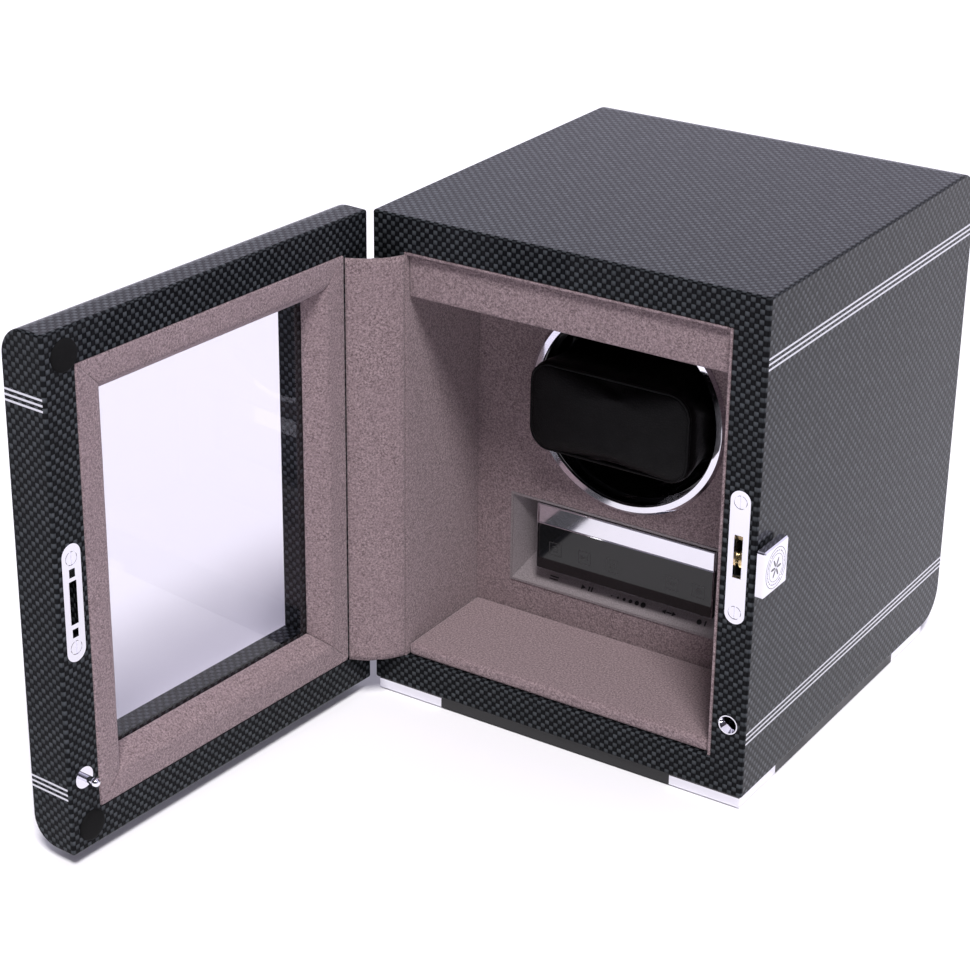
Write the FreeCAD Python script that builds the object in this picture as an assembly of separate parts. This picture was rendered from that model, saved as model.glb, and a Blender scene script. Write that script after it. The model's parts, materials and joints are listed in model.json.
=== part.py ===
"""Single watch winder box: a lacquered cabinet with a glazed side-hung door and a motor-driven cup.

Box coordinates, in millimetres: x from the cabinet's left side, y from its front rim towards the
back, z from the floor. The door is built closed and then swung open about its hinge pin. At the end
everything is moved so that the origin is the bottom centre of the whole object, door open.
"""
import FreeCAD
import Part
import math
import os

V = FreeCAD.Vector

# ---- driving dimensions -------------------------------------------------------------------------
CABINET_W = 184.0
CABINET_D = 199.0
CABINET_H = 220.0
FOOT_H = 5.8
FOOT_SHADOW = 0.9
RIM = 15.5
BACK_WALL = 12.0
BACK_ROUND = 15.5
EDGE_ROUND = 1.2
DOOR_T = 22.0
DOOR_ROUND = 12.0
DOOR_GAP = 1.6
DOOR_OPEN_DEG = 94.0
LINER_T = 1.3
PANEL_Y = 57.0
PANEL_T = 6.0
SCREW_HEAD_R = 2.2
SCREW_SHANK_R = 1.1
PLATE_SCREW_R = 2.7
SCREW_GROOVE = 0.25
GROOVE_DEPTH = 0.35

Z_BOTTOM = FOOT_H
Z_TOP = FOOT_H + CABINET_H
INNER_X0 = RIM
INNER_X1 = CABINET_W - RIM
INNER_Z0 = Z_BOTTOM + RIM
INNER_Z1 = Z_TOP - RIM
RIM_MID = RIM / 2

# drum
DRUM_X = CABINET_W / 2
DRUM_Z = Z_BOTTOM + 132.0
CUP_R = 44.2
CUP_FLOOR_Y = 101.0
SHAFT_R = 3.0
RUN_CLEARANCE = 0.05
GEAR_MODULE = 0.8
GEAR_TEETH = 48
PINION_TEETH = 12
GEAR_Y = 118.0
GEAR_T = 5.0
FRONT_PLATE_Y = 112.0
REAR_PLATE_Y = 130.0
PLATE_T = 3.0

# control panel
CONTROL_X = 93.8
CONTROL_HALF_W = 44.5
GLASS_Z0 = Z_BOTTOM + 46.0
TRIM_Z0 = Z_BOTTOM + 68.8
TRIM_Z1 = Z_BOTTOM + 77.6
CONTROL_FRONT_Y = 55.0

# lock
LOCK_X = CABINET_W - RIM_MID
LOCK_AXIS_Y = 8.0
LOCK_AXIS_Z = Z_BOTTOM + 105.0
PLUG_R = 3.45
CLAW_R0 = 12.0
CLAW_R1 = 15.0
CLAW_T = 2.6

# hinge
HINGE_X = -0.6
HINGE_Y = -DOOR_GAP / 2
BARREL_R = 2.0
HINGE_PIN_R = 0.9
HINGE_H = 36.0
HINGE_Z = (Z_BOTTOM + 48.0, Z_BOTTOM + 172.0)
LEAF_T = 0.7
LEAF_W = 12.5

pieces = {}


# ---- helpers ------------------------------------------------------------------------------------
def box(x0, y0, z0, x1, y1, z1):
    return Part.makeBox(x1 - x0, y1 - y0, z1 - z0, V(x0, y0, z0))


def cylinder(centre, direction, radius, length):
    return Part.makeCylinder(radius, length, V(*centre), V(*direction))


def ring(centre, direction, outer, inner, length):
    solid = cylinder(centre, direction, outer, length)
    return solid.cut(cylinder(centre, direction, inner, length))


def fuse(solids):
    """One solid from several that overlap or meet face to face."""
    whole = solids[0].fuse(solids[1:]) if len(solids) > 1 else solids[0]
    return whole.removeSplitter()


def group(solids):
    """Separate solids of identical pieces, kept in one node."""
    return Part.makeCompound(solids)


def edges_where(shape, test):
    return [e for e in shape.Edges if test(e)]


def lies_along(edge, axis, **where):
    """True for a straight edge along an axis whose other coordinates are as given."""
    a, b = edge.Vertexes[0].Point, edge.Vertexes[-1].Point
    if edge.Length < 1e-6 or abs(edge.Length - (b - a).Length) > 1e-6:
        return False
    others = [c for c in "xyz" if c != axis]
    if any(abs(getattr(a, c) - getattr(b, c)) > 1e-6 for c in others):
        return False
    return all(abs(getattr(a, c) - value) < 1e-6 for c, value in where.items())


def flat_loop(shape, axis, value):
    """The edges that lie in the plane where one coordinate has a value."""
    def inside(e):
        points = [v.Point for v in e.Vertexes] + [e.valueAt((e.FirstParameter + e.LastParameter) / 2)]
        return all(abs(getattr(p, axis) - value) < 1e-6 for p in points)
    return edges_where(shape, inside)


def outline_prism(points, thickness):
    """A prism from an outline of 3-D points in one plane, pushed along a vector."""
    wire = Part.makePolygon([V(*p) for p in points] + [V(*points[0])])
    return Part.Face(wire).extrude(V(*thickness))


def between_loops(first, second):
    """A flat-sided solid whose ends are two outlines with matching corners."""
    count = len(first)
    sides = [[first[i], first[(i + 1) % count], second[(i + 1) % count], second[i]] for i in range(count)]
    faces = [Part.Face(Part.makePolygon(points + points[:1])) for points in [first, second] + sides]
    solid = Part.makeSolid(Part.makeShell(faces))
    return solid if solid.Volume > 0 else solid.reversed()


def revolve_about_y(profile, x, z):
    """A ring turned about the line along y through (x, z), from (radius, y) points."""
    wire = Part.makePolygon([V(x + r, y, z) for r, y in profile + profile[:1]])
    return Part.Face(wire).revolve(V(x, 0, z), V(0, 1, 0), 360)


def swing_open(shape, degrees=DOOR_OPEN_DEG):
    """Turns a piece built with the door closed to where the open door holds it."""
    turned = shape.copy()
    turned.rotate(V(HINGE_X, HINGE_Y, 0), V(0, 0, 1), -degrees)
    return turned


def screw(x, y, z, direction, length, head_r=SCREW_HEAD_R, shank_r=SCREW_SHANK_R, head_h=1.2):
    """A slotted countersunk screw; the point is the centre of its head's flat face."""
    d = V(*direction)
    head = Part.makeCone(head_r, shank_r, head_h, V(x, y, z), d)
    shank = Part.makeCylinder(shank_r, length, V(x, y, z), d)
    side = V(0, 0, 1) if abs(d.z) < 0.5 else V(1, 0, 0)
    across = d.cross(side)
    slot_w = 0.24 * head_r
    slot = Part.makeBox(slot_w, head_r * 3, 0.45)
    slot.translate(V(-slot_w / 2, -head_r * 1.5, 0))
    frame = FreeCAD.Rotation(across, side, d, "ZXY")
    slot.Placement = FreeCAD.Placement(V(x, y, z), frame).multiply(slot.Placement)
    return head.fuse(shank).removeSplitter().cut(slot)


def keep(name, shape):
    pieces[name] = shape


def cut_from(names, tools):
    """Takes tools, such as screws, out of the pieces that hold them."""
    for name in names:
        pieces[name] = pieces[name].cut(tools)


def rounded_plate(x_mid, y0, y1, z0, z1, half_w):
    """A plate with round top and bottom ends, lying across y."""
    middle = box(x_mid - half_w, y0, z0 + half_w, x_mid + half_w, y1, z1 - half_w)
    low = cylinder((x_mid, y0, z0 + half_w), (0, 1, 0), half_w, y1 - y0)
    high = cylinder((x_mid, y0, z1 - half_w), (0, 1, 0), half_w, y1 - y0)
    return fuse([middle, low, high])


# ---- inlaid silver lines ------------------------------------------------------------------------
INLAY_FIRST = 25.4
INLAY_PITCH = 2.25
INLAY_W = 0.9
INLAY_DEPTH = 0.4


def inlay_heights():
    """Mid heights of the three lines near the top and the three near the bottom."""
    steps = [INLAY_FIRST + INLAY_PITCH * i for i in range(3)]
    return [Z_TOP - s for s in steps] + [Z_BOTTOM + s for s in steps]


def inlay_lines(x_faces, y0, y1):
    """Thin strips let into two side faces; x_faces gives (face, direction into the wood)."""
    strips = []
    for face, inward in x_faces:
        x0, x1 = sorted((face, face + inward * INLAY_DEPTH))
        for z in inlay_heights():
            strips.append(box(x0, y0, z - INLAY_W / 2, x1, y1, z + INLAY_W / 2))
    return strips


# ---- cabinet ------------------------------------------------------------------------------------
COVER_X0, COVER_X1 = 47.0, 137.0
COVER_Z0, COVER_Z1 = Z_BOTTOM + 60.0, Z_BOTTOM + 160.0
COVER_T = 3.0
COVER_LIP = 7.0


def make_body_shell():
    shell = box(0, 0, Z_BOTTOM, CABINET_W, CABINET_D, Z_TOP)
    backs = [e for z in (Z_BOTTOM, Z_TOP) for e in
             edges_where(shell, lambda e: lies_along(e, "x", y=CABINET_D, z=z))]
    shell = shell.makeFillet(BACK_ROUND, backs)
    sides = flat_loop(shell, "x", 0) + flat_loop(shell, "x", CABINET_W)
    front = [e for z in (Z_BOTTOM, Z_TOP) for e in
             edges_where(shell, lambda e: lies_along(e, "x", y=0, z=z))]
    shell = shell.makeFillet(EDGE_ROUND, sides + front)
    hollow = box(INNER_X0, -1, INNER_Z0, INNER_X1, CABINET_D - BACK_WALL, INNER_Z1)
    shell = shell.cut(hollow)
    mouth = edges_where(shell, lambda e: any(
        [lies_along(e, "x", y=0, z=z) for z in (INNER_Z0, INNER_Z1)]
        + [lies_along(e, "z", y=0, x=x) for x in (INNER_X0, INNER_X1)]))
    shell = shell.makeChamfer(0.6, mouth)
    rebate = box(COVER_X0, CABINET_D - COVER_T, COVER_Z0, COVER_X1, CABINET_D + 1, COVER_Z1)
    through = box(COVER_X0 + COVER_LIP, CABINET_D - BACK_WALL - 1, COVER_Z0 + COVER_LIP,
                  COVER_X1 - COVER_LIP, CABINET_D + 1, COVER_Z1 - COVER_LIP)
    shell = shell.cut([rebate, through])
    keep("body_shell", shell)


def make_body_inlays():
    faces = ((0.0, 1), (CABINET_W, -1))
    strips = inlay_lines(faces, EDGE_ROUND, CABINET_D - 0.4)
    cut_from(["body_shell"], strips)
    keep("body_inlays", group(strips))


FOOT_SIDE = 33.0
FOOT_INSET = 1.5
PLINTH_LIFT = 0.5


def foot_corners():
    y_back = CABINET_D - BACK_ROUND + 1.5
    return [(x, y) for x in (FOOT_INSET, CABINET_W - FOOT_INSET - FOOT_SIDE)
            for y in (FOOT_INSET, y_back - FOOT_SIDE)]


def make_base():
    y_back = CABINET_D - BACK_ROUND + 1.5
    plinth = box(FOOT_INSET, FOOT_INSET, PLINTH_LIFT, CABINET_W - FOOT_INSET, y_back, Z_BOTTOM)
    feet = []
    screws = []
    for x, y in foot_corners():
        foot = box(x, y, 0, x + FOOT_SIDE, y + FOOT_SIDE, Z_BOTTOM - FOOT_SHADOW)
        feet.append(foot)
        screws.append(screw(x + FOOT_SIDE / 2, y + FOOT_SIDE / 2, 0.3, (0, 0, 1), 14.0, 3.4, 1.7, 1.8))
    plinth = plinth.cut(feet + screws)
    rounded = []
    for foot, (x, y) in zip(feet, foot_corners()):
        low = flat_loop(foot, "z", 0)
        foot = foot.makeChamfer(0.5, low)
        well = cylinder((x + FOOT_SIDE / 2, y + FOOT_SIDE / 2, -1), (0, 0, 1), 3.6, 1.3)
        rounded.append(foot.cut([well] + screws))
    cut_from(["body_shell"], screws)
    keep("base_plinth", plinth)
    keep("feet", group(rounded))
    keep("foot_screws", group(screws))


# ---- suede-covered lining -----------------------------------------------------------------------
FASCIA_Z0 = Z_BOTTOM + 184.4
FASCIA_Y0 = 2.2
FASCIA_T = 10.0
PAD_TOP = Z_BOTTOM + 21.5


def make_lining():
    left = box(INNER_X0, 0, INNER_Z0, INNER_X0 + LINER_T, PANEL_Y, INNER_Z1)
    right = box(INNER_X1 - LINER_T, 0, INNER_Z0, INNER_X1, PANEL_Y, INNER_Z1)
    top = box(INNER_X0 + LINER_T, 0, INNER_Z1 - LINER_T, INNER_X1 - LINER_T, PANEL_Y, INNER_Z1)
    keep("side_liners", group([left, right]))
    keep("liner_top", top)
    fascia = box(INNER_X0 + LINER_T, FASCIA_Y0, FASCIA_Z0, INNER_X1 - LINER_T,
                 FASCIA_Y0 + FASCIA_T, INNER_Z1 - LINER_T)
    keep("top_fascia", fascia)
    pad = box(INNER_X0 + LINER_T, 1.6, INNER_Z0, INNER_X1 - LINER_T, PANEL_Y, PAD_TOP)
    nose = edges_where(pad, lambda e: lies_along(e, "x", y=1.6, z=PAD_TOP))
    keep("floor_pad", pad.makeFillet(2.2, nose))


def make_back_panel():
    panel = box(INNER_X0, PANEL_Y, INNER_Z0, INNER_X1, PANEL_Y + PANEL_T, INNER_Z1)
    hole = cylinder((DRUM_X, PANEL_Y - 1, DRUM_Z), (0, 1, 0), 46.0, PANEL_T + 2)
    x0, x1, z0, z1 = tray_mouth(TRAY_WALL)
    notch = box(x0, PANEL_Y - 1, z0, x1, PANEL_Y + PANEL_T + 1, z1)
    keep("back_panel", panel.cut([hole, notch]))


# ---- control panel ------------------------------------------------------------------------------
TRAY_HALF_W = 58.0
TRAY_Z0 = Z_BOTTOM + 36.5
TRAY_DEPTH = 10.0
TRAY_WALL = 0.8
TRAY_LIP = 0.3
TRIM_GAP = 0.3
TRAY_LABEL_SLOPE = 12.0
TRAY_SIDE_SLOPE = 7.5


def tray_mouth(grow=0.0):
    """The tray's mouth as x0, x1, z0, z1, grown outwards on all sides."""
    return (CONTROL_X - TRAY_HALF_W - grow, CONTROL_X + TRAY_HALF_W + grow,
            TRAY_Z0 - grow, TRIM_Z1 + TRIM_GAP + grow)


def tray_bowl():
    """The tray's hollow: its bottom and side walls slope in towards the back."""
    x0, x1, z0, z1 = tray_mouth()
    y0, y1 = PANEL_Y, PANEL_Y + TRAY_DEPTH
    front = [V(x0, y0, z0), V(x1, y0, z0), V(x1, y0, z1), V(x0, y0, z1)]
    bx0, bx1, bz0 = x0 + TRAY_SIDE_SLOPE, x1 - TRAY_SIDE_SLOPE, z0 + TRAY_LABEL_SLOPE
    back = [V(bx0, y1, bz0), V(bx1, y1, bz0), V(bx1, y1, z1), V(bx0, y1, z1)]
    return between_loops(front, back)


def make_control_tray():
    x0, x1, z0, z1 = tray_mouth()
    ox0, ox1, oz0, oz1 = tray_mouth(TRAY_WALL)
    outer = box(ox0, PANEL_Y, oz0, ox1, PANEL_Y + TRAY_DEPTH + TRAY_WALL, oz1)
    lip = box(ox0 - TRAY_LIP, PANEL_Y - 0.4, oz0 - TRAY_LIP, ox1 + TRAY_LIP, PANEL_Y, oz1 + TRAY_LIP)
    mouth = box(x0, PANEL_Y - 2, z0, x1, PANEL_Y, z1)
    keep("control_tray", fuse([outer, lip]).cut([tray_bowl(), mouth]))


def make_control_module():
    x0, x1 = CONTROL_X - CONTROL_HALF_W, CONTROL_X + CONTROL_HALF_W
    face_y = PANEL_Y + 0.2
    glass = box(x0, CONTROL_FRONT_Y, GLASS_Z0, x1, face_y, TRIM_Z0)
    trim = box(x0, CONTROL_FRONT_Y, TRIM_Z0, x1, face_y, TRIM_Z1)
    glass = glass.makeChamfer(0.45, flat_loop(glass, "y", CONTROL_FRONT_Y))
    trim = trim.makeChamfer(0.3, flat_loop(trim, "y", CONTROL_FRONT_Y))
    case = box(x0 + 0.2, face_y, GLASS_Z0 + 0.3, x1 - 0.2, PANEL_Y + 7.2, TRIM_Z1 - 0.2)
    neck = box(x0 + 4, PANEL_Y + 7.2, GLASS_Z0 + 6, x1 - 4, PANEL_Y + TRAY_DEPTH, TRIM_Z1 - 4)
    pocket = box(x0 + 2, face_y, GLASS_Z0 + 2, x1 - 2, PANEL_Y + 5.6, TRIM_Z0 + 4)
    board = box(x0 + 3, PANEL_Y + 3.2, GLASS_Z0 + 3, x1 - 3, PANEL_Y + 4.8, TRIM_Z0 + 3)
    screen = box(CONTROL_X - 18, face_y + 0.4, GLASS_Z0 + 5, CONTROL_X + 18, PANEL_Y + 3.2, TRIM_Z0 - 3)
    legs = [box(x0 + 3 + dx, PANEL_Y + 4.8, z, x0 + 7 + dx, PANEL_Y + 5.6, z + 3)
            for dx in (0, 2 * CONTROL_HALF_W - 10) for z in (GLASS_Z0 + 3, TRIM_Z0)]
    keep("display_glass", glass)
    keep("display_trim", trim)
    keep("display_housing", fuse([case.cut(pocket), neck] + legs))
    keep("display_board", fuse([board, screen]))


# ---- chrome ring, cup and cushion ---------------------------------------------------------------
def make_bezel_ring():
    profile = [(43.6, 55.5), (43.8, 55.3), (46.4, 55.3), (47.7, 56.3), (47.7, 57.0), (46.0, 57.0),
               (46.0, 66.0), (44.8, 66.0), (44.8, 56.0), (43.6, 56.0)]
    keep("bezel_ring", revolve_about_y(profile, DRUM_X, DRUM_Z))


SOCKET_HALF_W = 8.0
SOCKET_HALF_H = 5.0
SOCKET_WALL = 2.0
STEM_CLEARANCE = 0.1


def make_cup():
    inside = [(0.0, CUP_FLOOR_Y), (40.0, CUP_FLOOR_Y), (41.8, CUP_FLOOR_Y - 2.0), (42.2, 63.0),
              (43.2, 63.0), (43.2, 56.5)]
    outside = [(CUP_R - 0.3, 56.3), (CUP_R, 56.6), (CUP_R, 102.0), (43.2, 103.0), (9.0, 103.0),
               (9.0, 109.0), (0.0, 109.0)]
    shell = revolve_about_y(inside + outside, DRUM_X, DRUM_Z)
    bore = cylinder((DRUM_X, CUP_FLOOR_Y + 1.0, DRUM_Z), (0, 1, 0), SHAFT_R, 20)
    half_w, half_h, wall = SOCKET_HALF_W + STEM_CLEARANCE, SOCKET_HALF_H + STEM_CLEARANCE, SOCKET_WALL
    sleeve = box(DRUM_X - half_w - wall, 89.0, DRUM_Z - half_h - wall,
                 DRUM_X + half_w + wall, CUP_FLOOR_Y, DRUM_Z + half_h + wall)
    well = box(DRUM_X - half_w, 88.0, DRUM_Z - half_h, DRUM_X + half_w, CUP_FLOOR_Y, DRUM_Z + half_h)
    keep("drum_cup", fuse([shell.cut(bore), sleeve.cut(well)]))


def gear(teeth, x, z, y0, thickness, bore_r, phase_deg, backlash=0.12):
    """A spur gear about a line along y, with involute flanks; phase turns it from +z."""
    pitch_r = GEAR_MODULE * teeth / 2
    base_r = pitch_r * math.cos(math.radians(20))
    tip_r = pitch_r + GEAR_MODULE * 0.9
    root_r = pitch_r - GEAR_MODULE * 1.15
    roll_at_pitch = math.tan(math.radians(20))
    pitch_offset = roll_at_pitch - math.radians(20)
    half_tooth = math.pi / (2 * teeth) - backlash / (2 * pitch_r)
    start_r = max(base_r, root_r + 0.05)
    flank = []
    for i in range(5):
        r = start_r + (tip_r - start_r) * i / 4
        t = math.sqrt(max((r / base_r) ** 2 - 1, 0))
        flank.append((r, half_tooth + pitch_offset - (t - math.atan(t))))
    outline = []
    for n in range(teeth):
        mid = 2 * math.pi * n / teeth
        outline.append((root_r, mid - flank[0][1]))
        outline += [(r, mid - a) for r, a in flank]
        outline += [(r, mid + a) for r, a in reversed(flank)]
        outline.append((root_r, mid + flank[0][1]))
    turn = math.radians(phase_deg)
    points = [V(x + r * math.sin(a + turn), y0, z + r * math.cos(a + turn)) for r, a in outline]
    body = Part.Face(Part.makePolygon(points + points[:1])).extrude(V(0, thickness, 0))
    return body.cut(cylinder((x, y0 - 1, z), (0, 1, 0), bore_r, thickness + 2))


def make_drive():
    centre = (DRUM_X, CUP_FLOOR_Y + 1.0, DRUM_Z)
    shaft = cylinder(centre, (0, 1, 0), SHAFT_R, 36.0)
    groove = ring((DRUM_X, 134.4, DRUM_Z), (0, 1, 0), SHAFT_R + 1, SHAFT_R - 0.5, 0.9)
    keep("drum_shaft", shaft.cut(groove))
    keep("shaft_clip", ring((DRUM_X, 134.4, DRUM_Z), (0, 1, 0), SHAFT_R + 2, SHAFT_R - 0.5, 0.9))
    wheel = gear(GEAR_TEETH, DRUM_X, DRUM_Z, GEAR_Y, GEAR_T, SHAFT_R, 0)
    hub = ring((DRUM_X, GEAR_Y + GEAR_T, DRUM_Z), (0, 1, 0), 6.0, SHAFT_R, 4.0)
    holes = [cylinder((DRUM_X + 11 * math.sin(a), GEAR_Y - 1, DRUM_Z + 11 * math.cos(a)), (0, 1, 0), 3.5, 8)
             for a in [math.pi / 3 * (i + 0.5) for i in range(6)]]
    keep("drum_gear", fuse([wheel.cut(holes), hub]))


MOTOR_R = 12.0
MOTOR_Z = DRUM_Z + GEAR_MODULE * (GEAR_TEETH + PINION_TEETH) / 2
MOTOR_SHAFT_R = 1.0


def make_motor():
    rear = REAR_PLATE_Y + PLATE_T
    shaft = cylinder((DRUM_X, GEAR_Y - 1.0, MOTOR_Z), (0, 1, 0), MOTOR_SHAFT_R, rear + 8 - GEAR_Y)
    keep("motor_shaft", shaft)
    pinion = gear(PINION_TEETH, DRUM_X, MOTOR_Z, GEAR_Y, GEAR_T, MOTOR_SHAFT_R, 180.0 / PINION_TEETH)
    keep("motor_pinion", pinion)
    can = cylinder((DRUM_X, rear, MOTOR_Z), (0, 1, 0), MOTOR_R, 27.0)
    can = can.makeFillet(1.5, flat_loop(can, "y", rear + 27.0))
    boss = cylinder((DRUM_X, rear - 2.0, MOTOR_Z), (0, 1, 0), 3.5, 2.0)
    tail = cylinder((DRUM_X, rear + 27.0, MOTOR_Z), (0, 1, 0), 4.0, 1.5)
    tabs = [box(DRUM_X + dx - 1.5, rear + 27.0, MOTOR_Z + 6, DRUM_X + dx + 1.5, rear + 31.0, MOTOR_Z + 6.5)
            for dx in (-5, 5)]
    bore = cylinder((DRUM_X, rear - 3, MOTOR_Z), (0, 1, 0), MOTOR_SHAFT_R + RUN_CLEARANCE, 13)
    keep("motor_can", fuse([can, boss, tail] + tabs).cut(bore))


PLATE_HALF_W = 56.0
PLATE_HALF_H = 50.0
POST_DX = 49.0
POST_DZ = 43.0
POST_R = 4.0
SPACER_DX = 26.0
SPACER_DZ = (-20.0, 38.0)


def make_winder_frame():
    post_y = PANEL_Y + PANEL_T
    posts = []
    post_screws = []
    for dx in (-POST_DX, POST_DX):
        for dz in (-POST_DZ, POST_DZ):
            x, z = DRUM_X + dx, DRUM_Z + dz
            posts.append(cylinder((x, post_y, z), (0, 1, 0), POST_R, FRONT_PLATE_Y - post_y))
            post_screws.append(screw(x, FRONT_PLATE_Y + PLATE_T, z, (0, -1, 0), 12.0, 2.8, 1.4, 1.4))
    front = box(DRUM_X - PLATE_HALF_W, FRONT_PLATE_Y, DRUM_Z - PLATE_HALF_H,
                DRUM_X + PLATE_HALF_W, FRONT_PLATE_Y + PLATE_T, DRUM_Z + PLATE_HALF_H)
    front = front.makeFillet(6.0, edges_where(front, lambda e: lies_along(e, "y")))
    rear = box(DRUM_X - 32, REAR_PLATE_Y, DRUM_Z - 26, DRUM_X + 32, REAR_PLATE_Y + PLATE_T, DRUM_Z + 44)
    rear = rear.makeFillet(4.0, edges_where(rear, lambda e: lies_along(e, "y")))
    spacers = []
    rivets = []
    for dx in (-SPACER_DX, SPACER_DX):
        for dz in SPACER_DZ:
            x, z = DRUM_X + dx, DRUM_Z + dz
            spacers.append(cylinder((x, FRONT_PLATE_Y + PLATE_T, z), (0, 1, 0), 3.0,
                                    REAR_PLATE_Y - FRONT_PLATE_Y - PLATE_T))
            rivets.append(screw(x, REAR_PLATE_Y + PLATE_T, z, (0, -1, 0), 10.0))
    bush_hole = cylinder((DRUM_X, FRONT_PLATE_Y - 1, DRUM_Z), (0, 1, 0), 5.0, 30)
    boss_hole = cylinder((DRUM_X, REAR_PLATE_Y - 1, MOTOR_Z), (0, 1, 0), 3.5, 6)
    motor_screws = [screw(DRUM_X + dx, REAR_PLATE_Y, MOTOR_Z, (0, 1, 0), 6.0, 1.7, 0.8, 0.9)
                    for dx in (-8, 8)]
    keep("winder_posts", group([p.cut(post_screws) for p in posts]))
    keep("front_bearing_plate", front.cut([bush_hole] + post_screws))
    keep("rear_bearing_plate", rear.cut([bush_hole, boss_hole] + rivets + motor_screws))
    keep("plate_spacers", group([s.cut(rivets) for s in spacers]))
    keep("plate_screws", group(post_screws + rivets))
    keep("motor_screws", group(motor_screws))
    cut_from(["motor_can"], motor_screws)
    bushes = []
    for y in (FRONT_PLATE_Y, REAR_PLATE_Y):
        sleeve = ring((DRUM_X, y, DRUM_Z), (0, 1, 0), 5.0, SHAFT_R + RUN_CLEARANCE, PLATE_T)
        flange = ring((DRUM_X, y - 1.2, DRUM_Z), (0, 1, 0), 6.5, SHAFT_R + RUN_CLEARANCE, 1.2)
        bushes.append(fuse([sleeve, flange]))
    keep("shaft_bushes", group(bushes))


CUSHION_HALF_L = 41.0
CUSHION_HALF_H = 22.0
CUSHION_Y0 = 37.0
CUSHION_Y1 = 82.0


def make_cushion():
    pillow = box(DRUM_X - CUSHION_HALF_L, CUSHION_Y0, DRUM_Z - CUSHION_HALF_H,
                 DRUM_X + CUSHION_HALF_L, CUSHION_Y1, DRUM_Z + CUSHION_HALF_H)
    pillow = pillow.makeFillet(16.0, edges_where(pillow, lambda e: lies_along(e, "y")))
    pillow = pillow.makeFillet(11.0, flat_loop(pillow, "y", CUSHION_Y0) + flat_loop(pillow, "y", CUSHION_Y1))
    keep("watch_cushion", pillow)
    plate = box(DRUM_X - 20, CUSHION_Y1, DRUM_Z - 9, DRUM_X + 20, CUSHION_Y1 + 2, DRUM_Z + 9)
    stem = box(DRUM_X - SOCKET_HALF_W, CUSHION_Y1 + 2, DRUM_Z - SOCKET_HALF_H,
               DRUM_X + SOCKET_HALF_W, CUP_FLOOR_Y - 2.0, DRUM_Z + SOCKET_HALF_H)
    keep("cushion_stem", fuse([plate, stem]))


# ---- lock, key and locating socket --------------------------------------------------------------
FACEPLATE_HALF_W = 4.45
FACEPLATE_Z0 = Z_BOTTOM + 79.6
FACEPLATE_Z1 = Z_BOTTOM + 138.2
FACEPLATE_Y0 = -0.4
FACEPLATE_Y1 = 1.1
BOLT_HALF_W = 1.9
BOLT_Z0 = Z_BOTTOM + 100.0
BOLT_Z1 = Z_BOTTOM + 118.8
CASE_HALF_W = 4.25
CASE_Z0 = Z_BOTTOM + 86.0
CASE_Z1 = Z_BOTTOM + 131.0
CASE_Y1 = 24.0
CLAW_TIP_DEG = 62.0
CLAW_TAIL_DEG = 118.0


def make_lock():
    plate = rounded_plate(LOCK_X, FACEPLATE_Y0, FACEPLATE_Y1, FACEPLATE_Z0, FACEPLATE_Z1, FACEPLATE_HALF_W)
    slot = box(LOCK_X - BOLT_HALF_W, -2, BOLT_Z0, LOCK_X + BOLT_HALF_W, 4, BOLT_Z1)
    heads = [(LOCK_X, FACEPLATE_Y0, z) for z in (FACEPLATE_Z0 + 5.0, FACEPLATE_Z1 - 5.0)]
    screws = [screw(*head, (0, 1, 0), 12.0, PLATE_SCREW_R) for head in heads]
    grooves = [cylinder(head, (0, 1, 0), PLATE_SCREW_R + SCREW_GROOVE, GROOVE_DEPTH) for head in heads]
    seat = rounded_plate(LOCK_X, -1, FACEPLATE_Y1, FACEPLATE_Z0, FACEPLATE_Z1, FACEPLATE_HALF_W)
    case = box(LOCK_X - CASE_HALF_W, FACEPLATE_Y1, CASE_Z0, LOCK_X + CASE_HALF_W, CASE_Y1, CASE_Z1)
    inside = box(LOCK_X - CASE_HALF_W + 1, FACEPLATE_Y1 + 1, CASE_Z0 + 1,
                 LOCK_X + CASE_HALF_W - 1, CASE_Y1 - 1, CASE_Z1 - 1)
    plug_bore = cylinder((LOCK_X - CASE_HALF_W - 1, LOCK_AXIS_Y, LOCK_AXIS_Z), (1, 0, 0),
                         PLUG_R + RUN_CLEARANCE, 30)
    cut_from(["body_shell"], [seat, case, plug_bore.cut(case)] + screws)
    keep("lock_faceplate", plate.cut([slot] + grooves + screws))
    keep("lock_case", case.cut([inside, slot, plug_bore] + screws))
    keep("lock_screws", group(screws))
    rose = ring((CABINET_W, LOCK_AXIS_Y, LOCK_AXIS_Z), (1, 0, 0), 6.0, PLUG_R + RUN_CLEARANCE, 0.5)
    keep("escutcheon", rose)


def on_claw(radius, degrees):
    a = math.radians(degrees)
    return (LOCK_AXIS_Y - radius * math.cos(a), LOCK_AXIS_Z + radius * math.sin(a))


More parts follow.
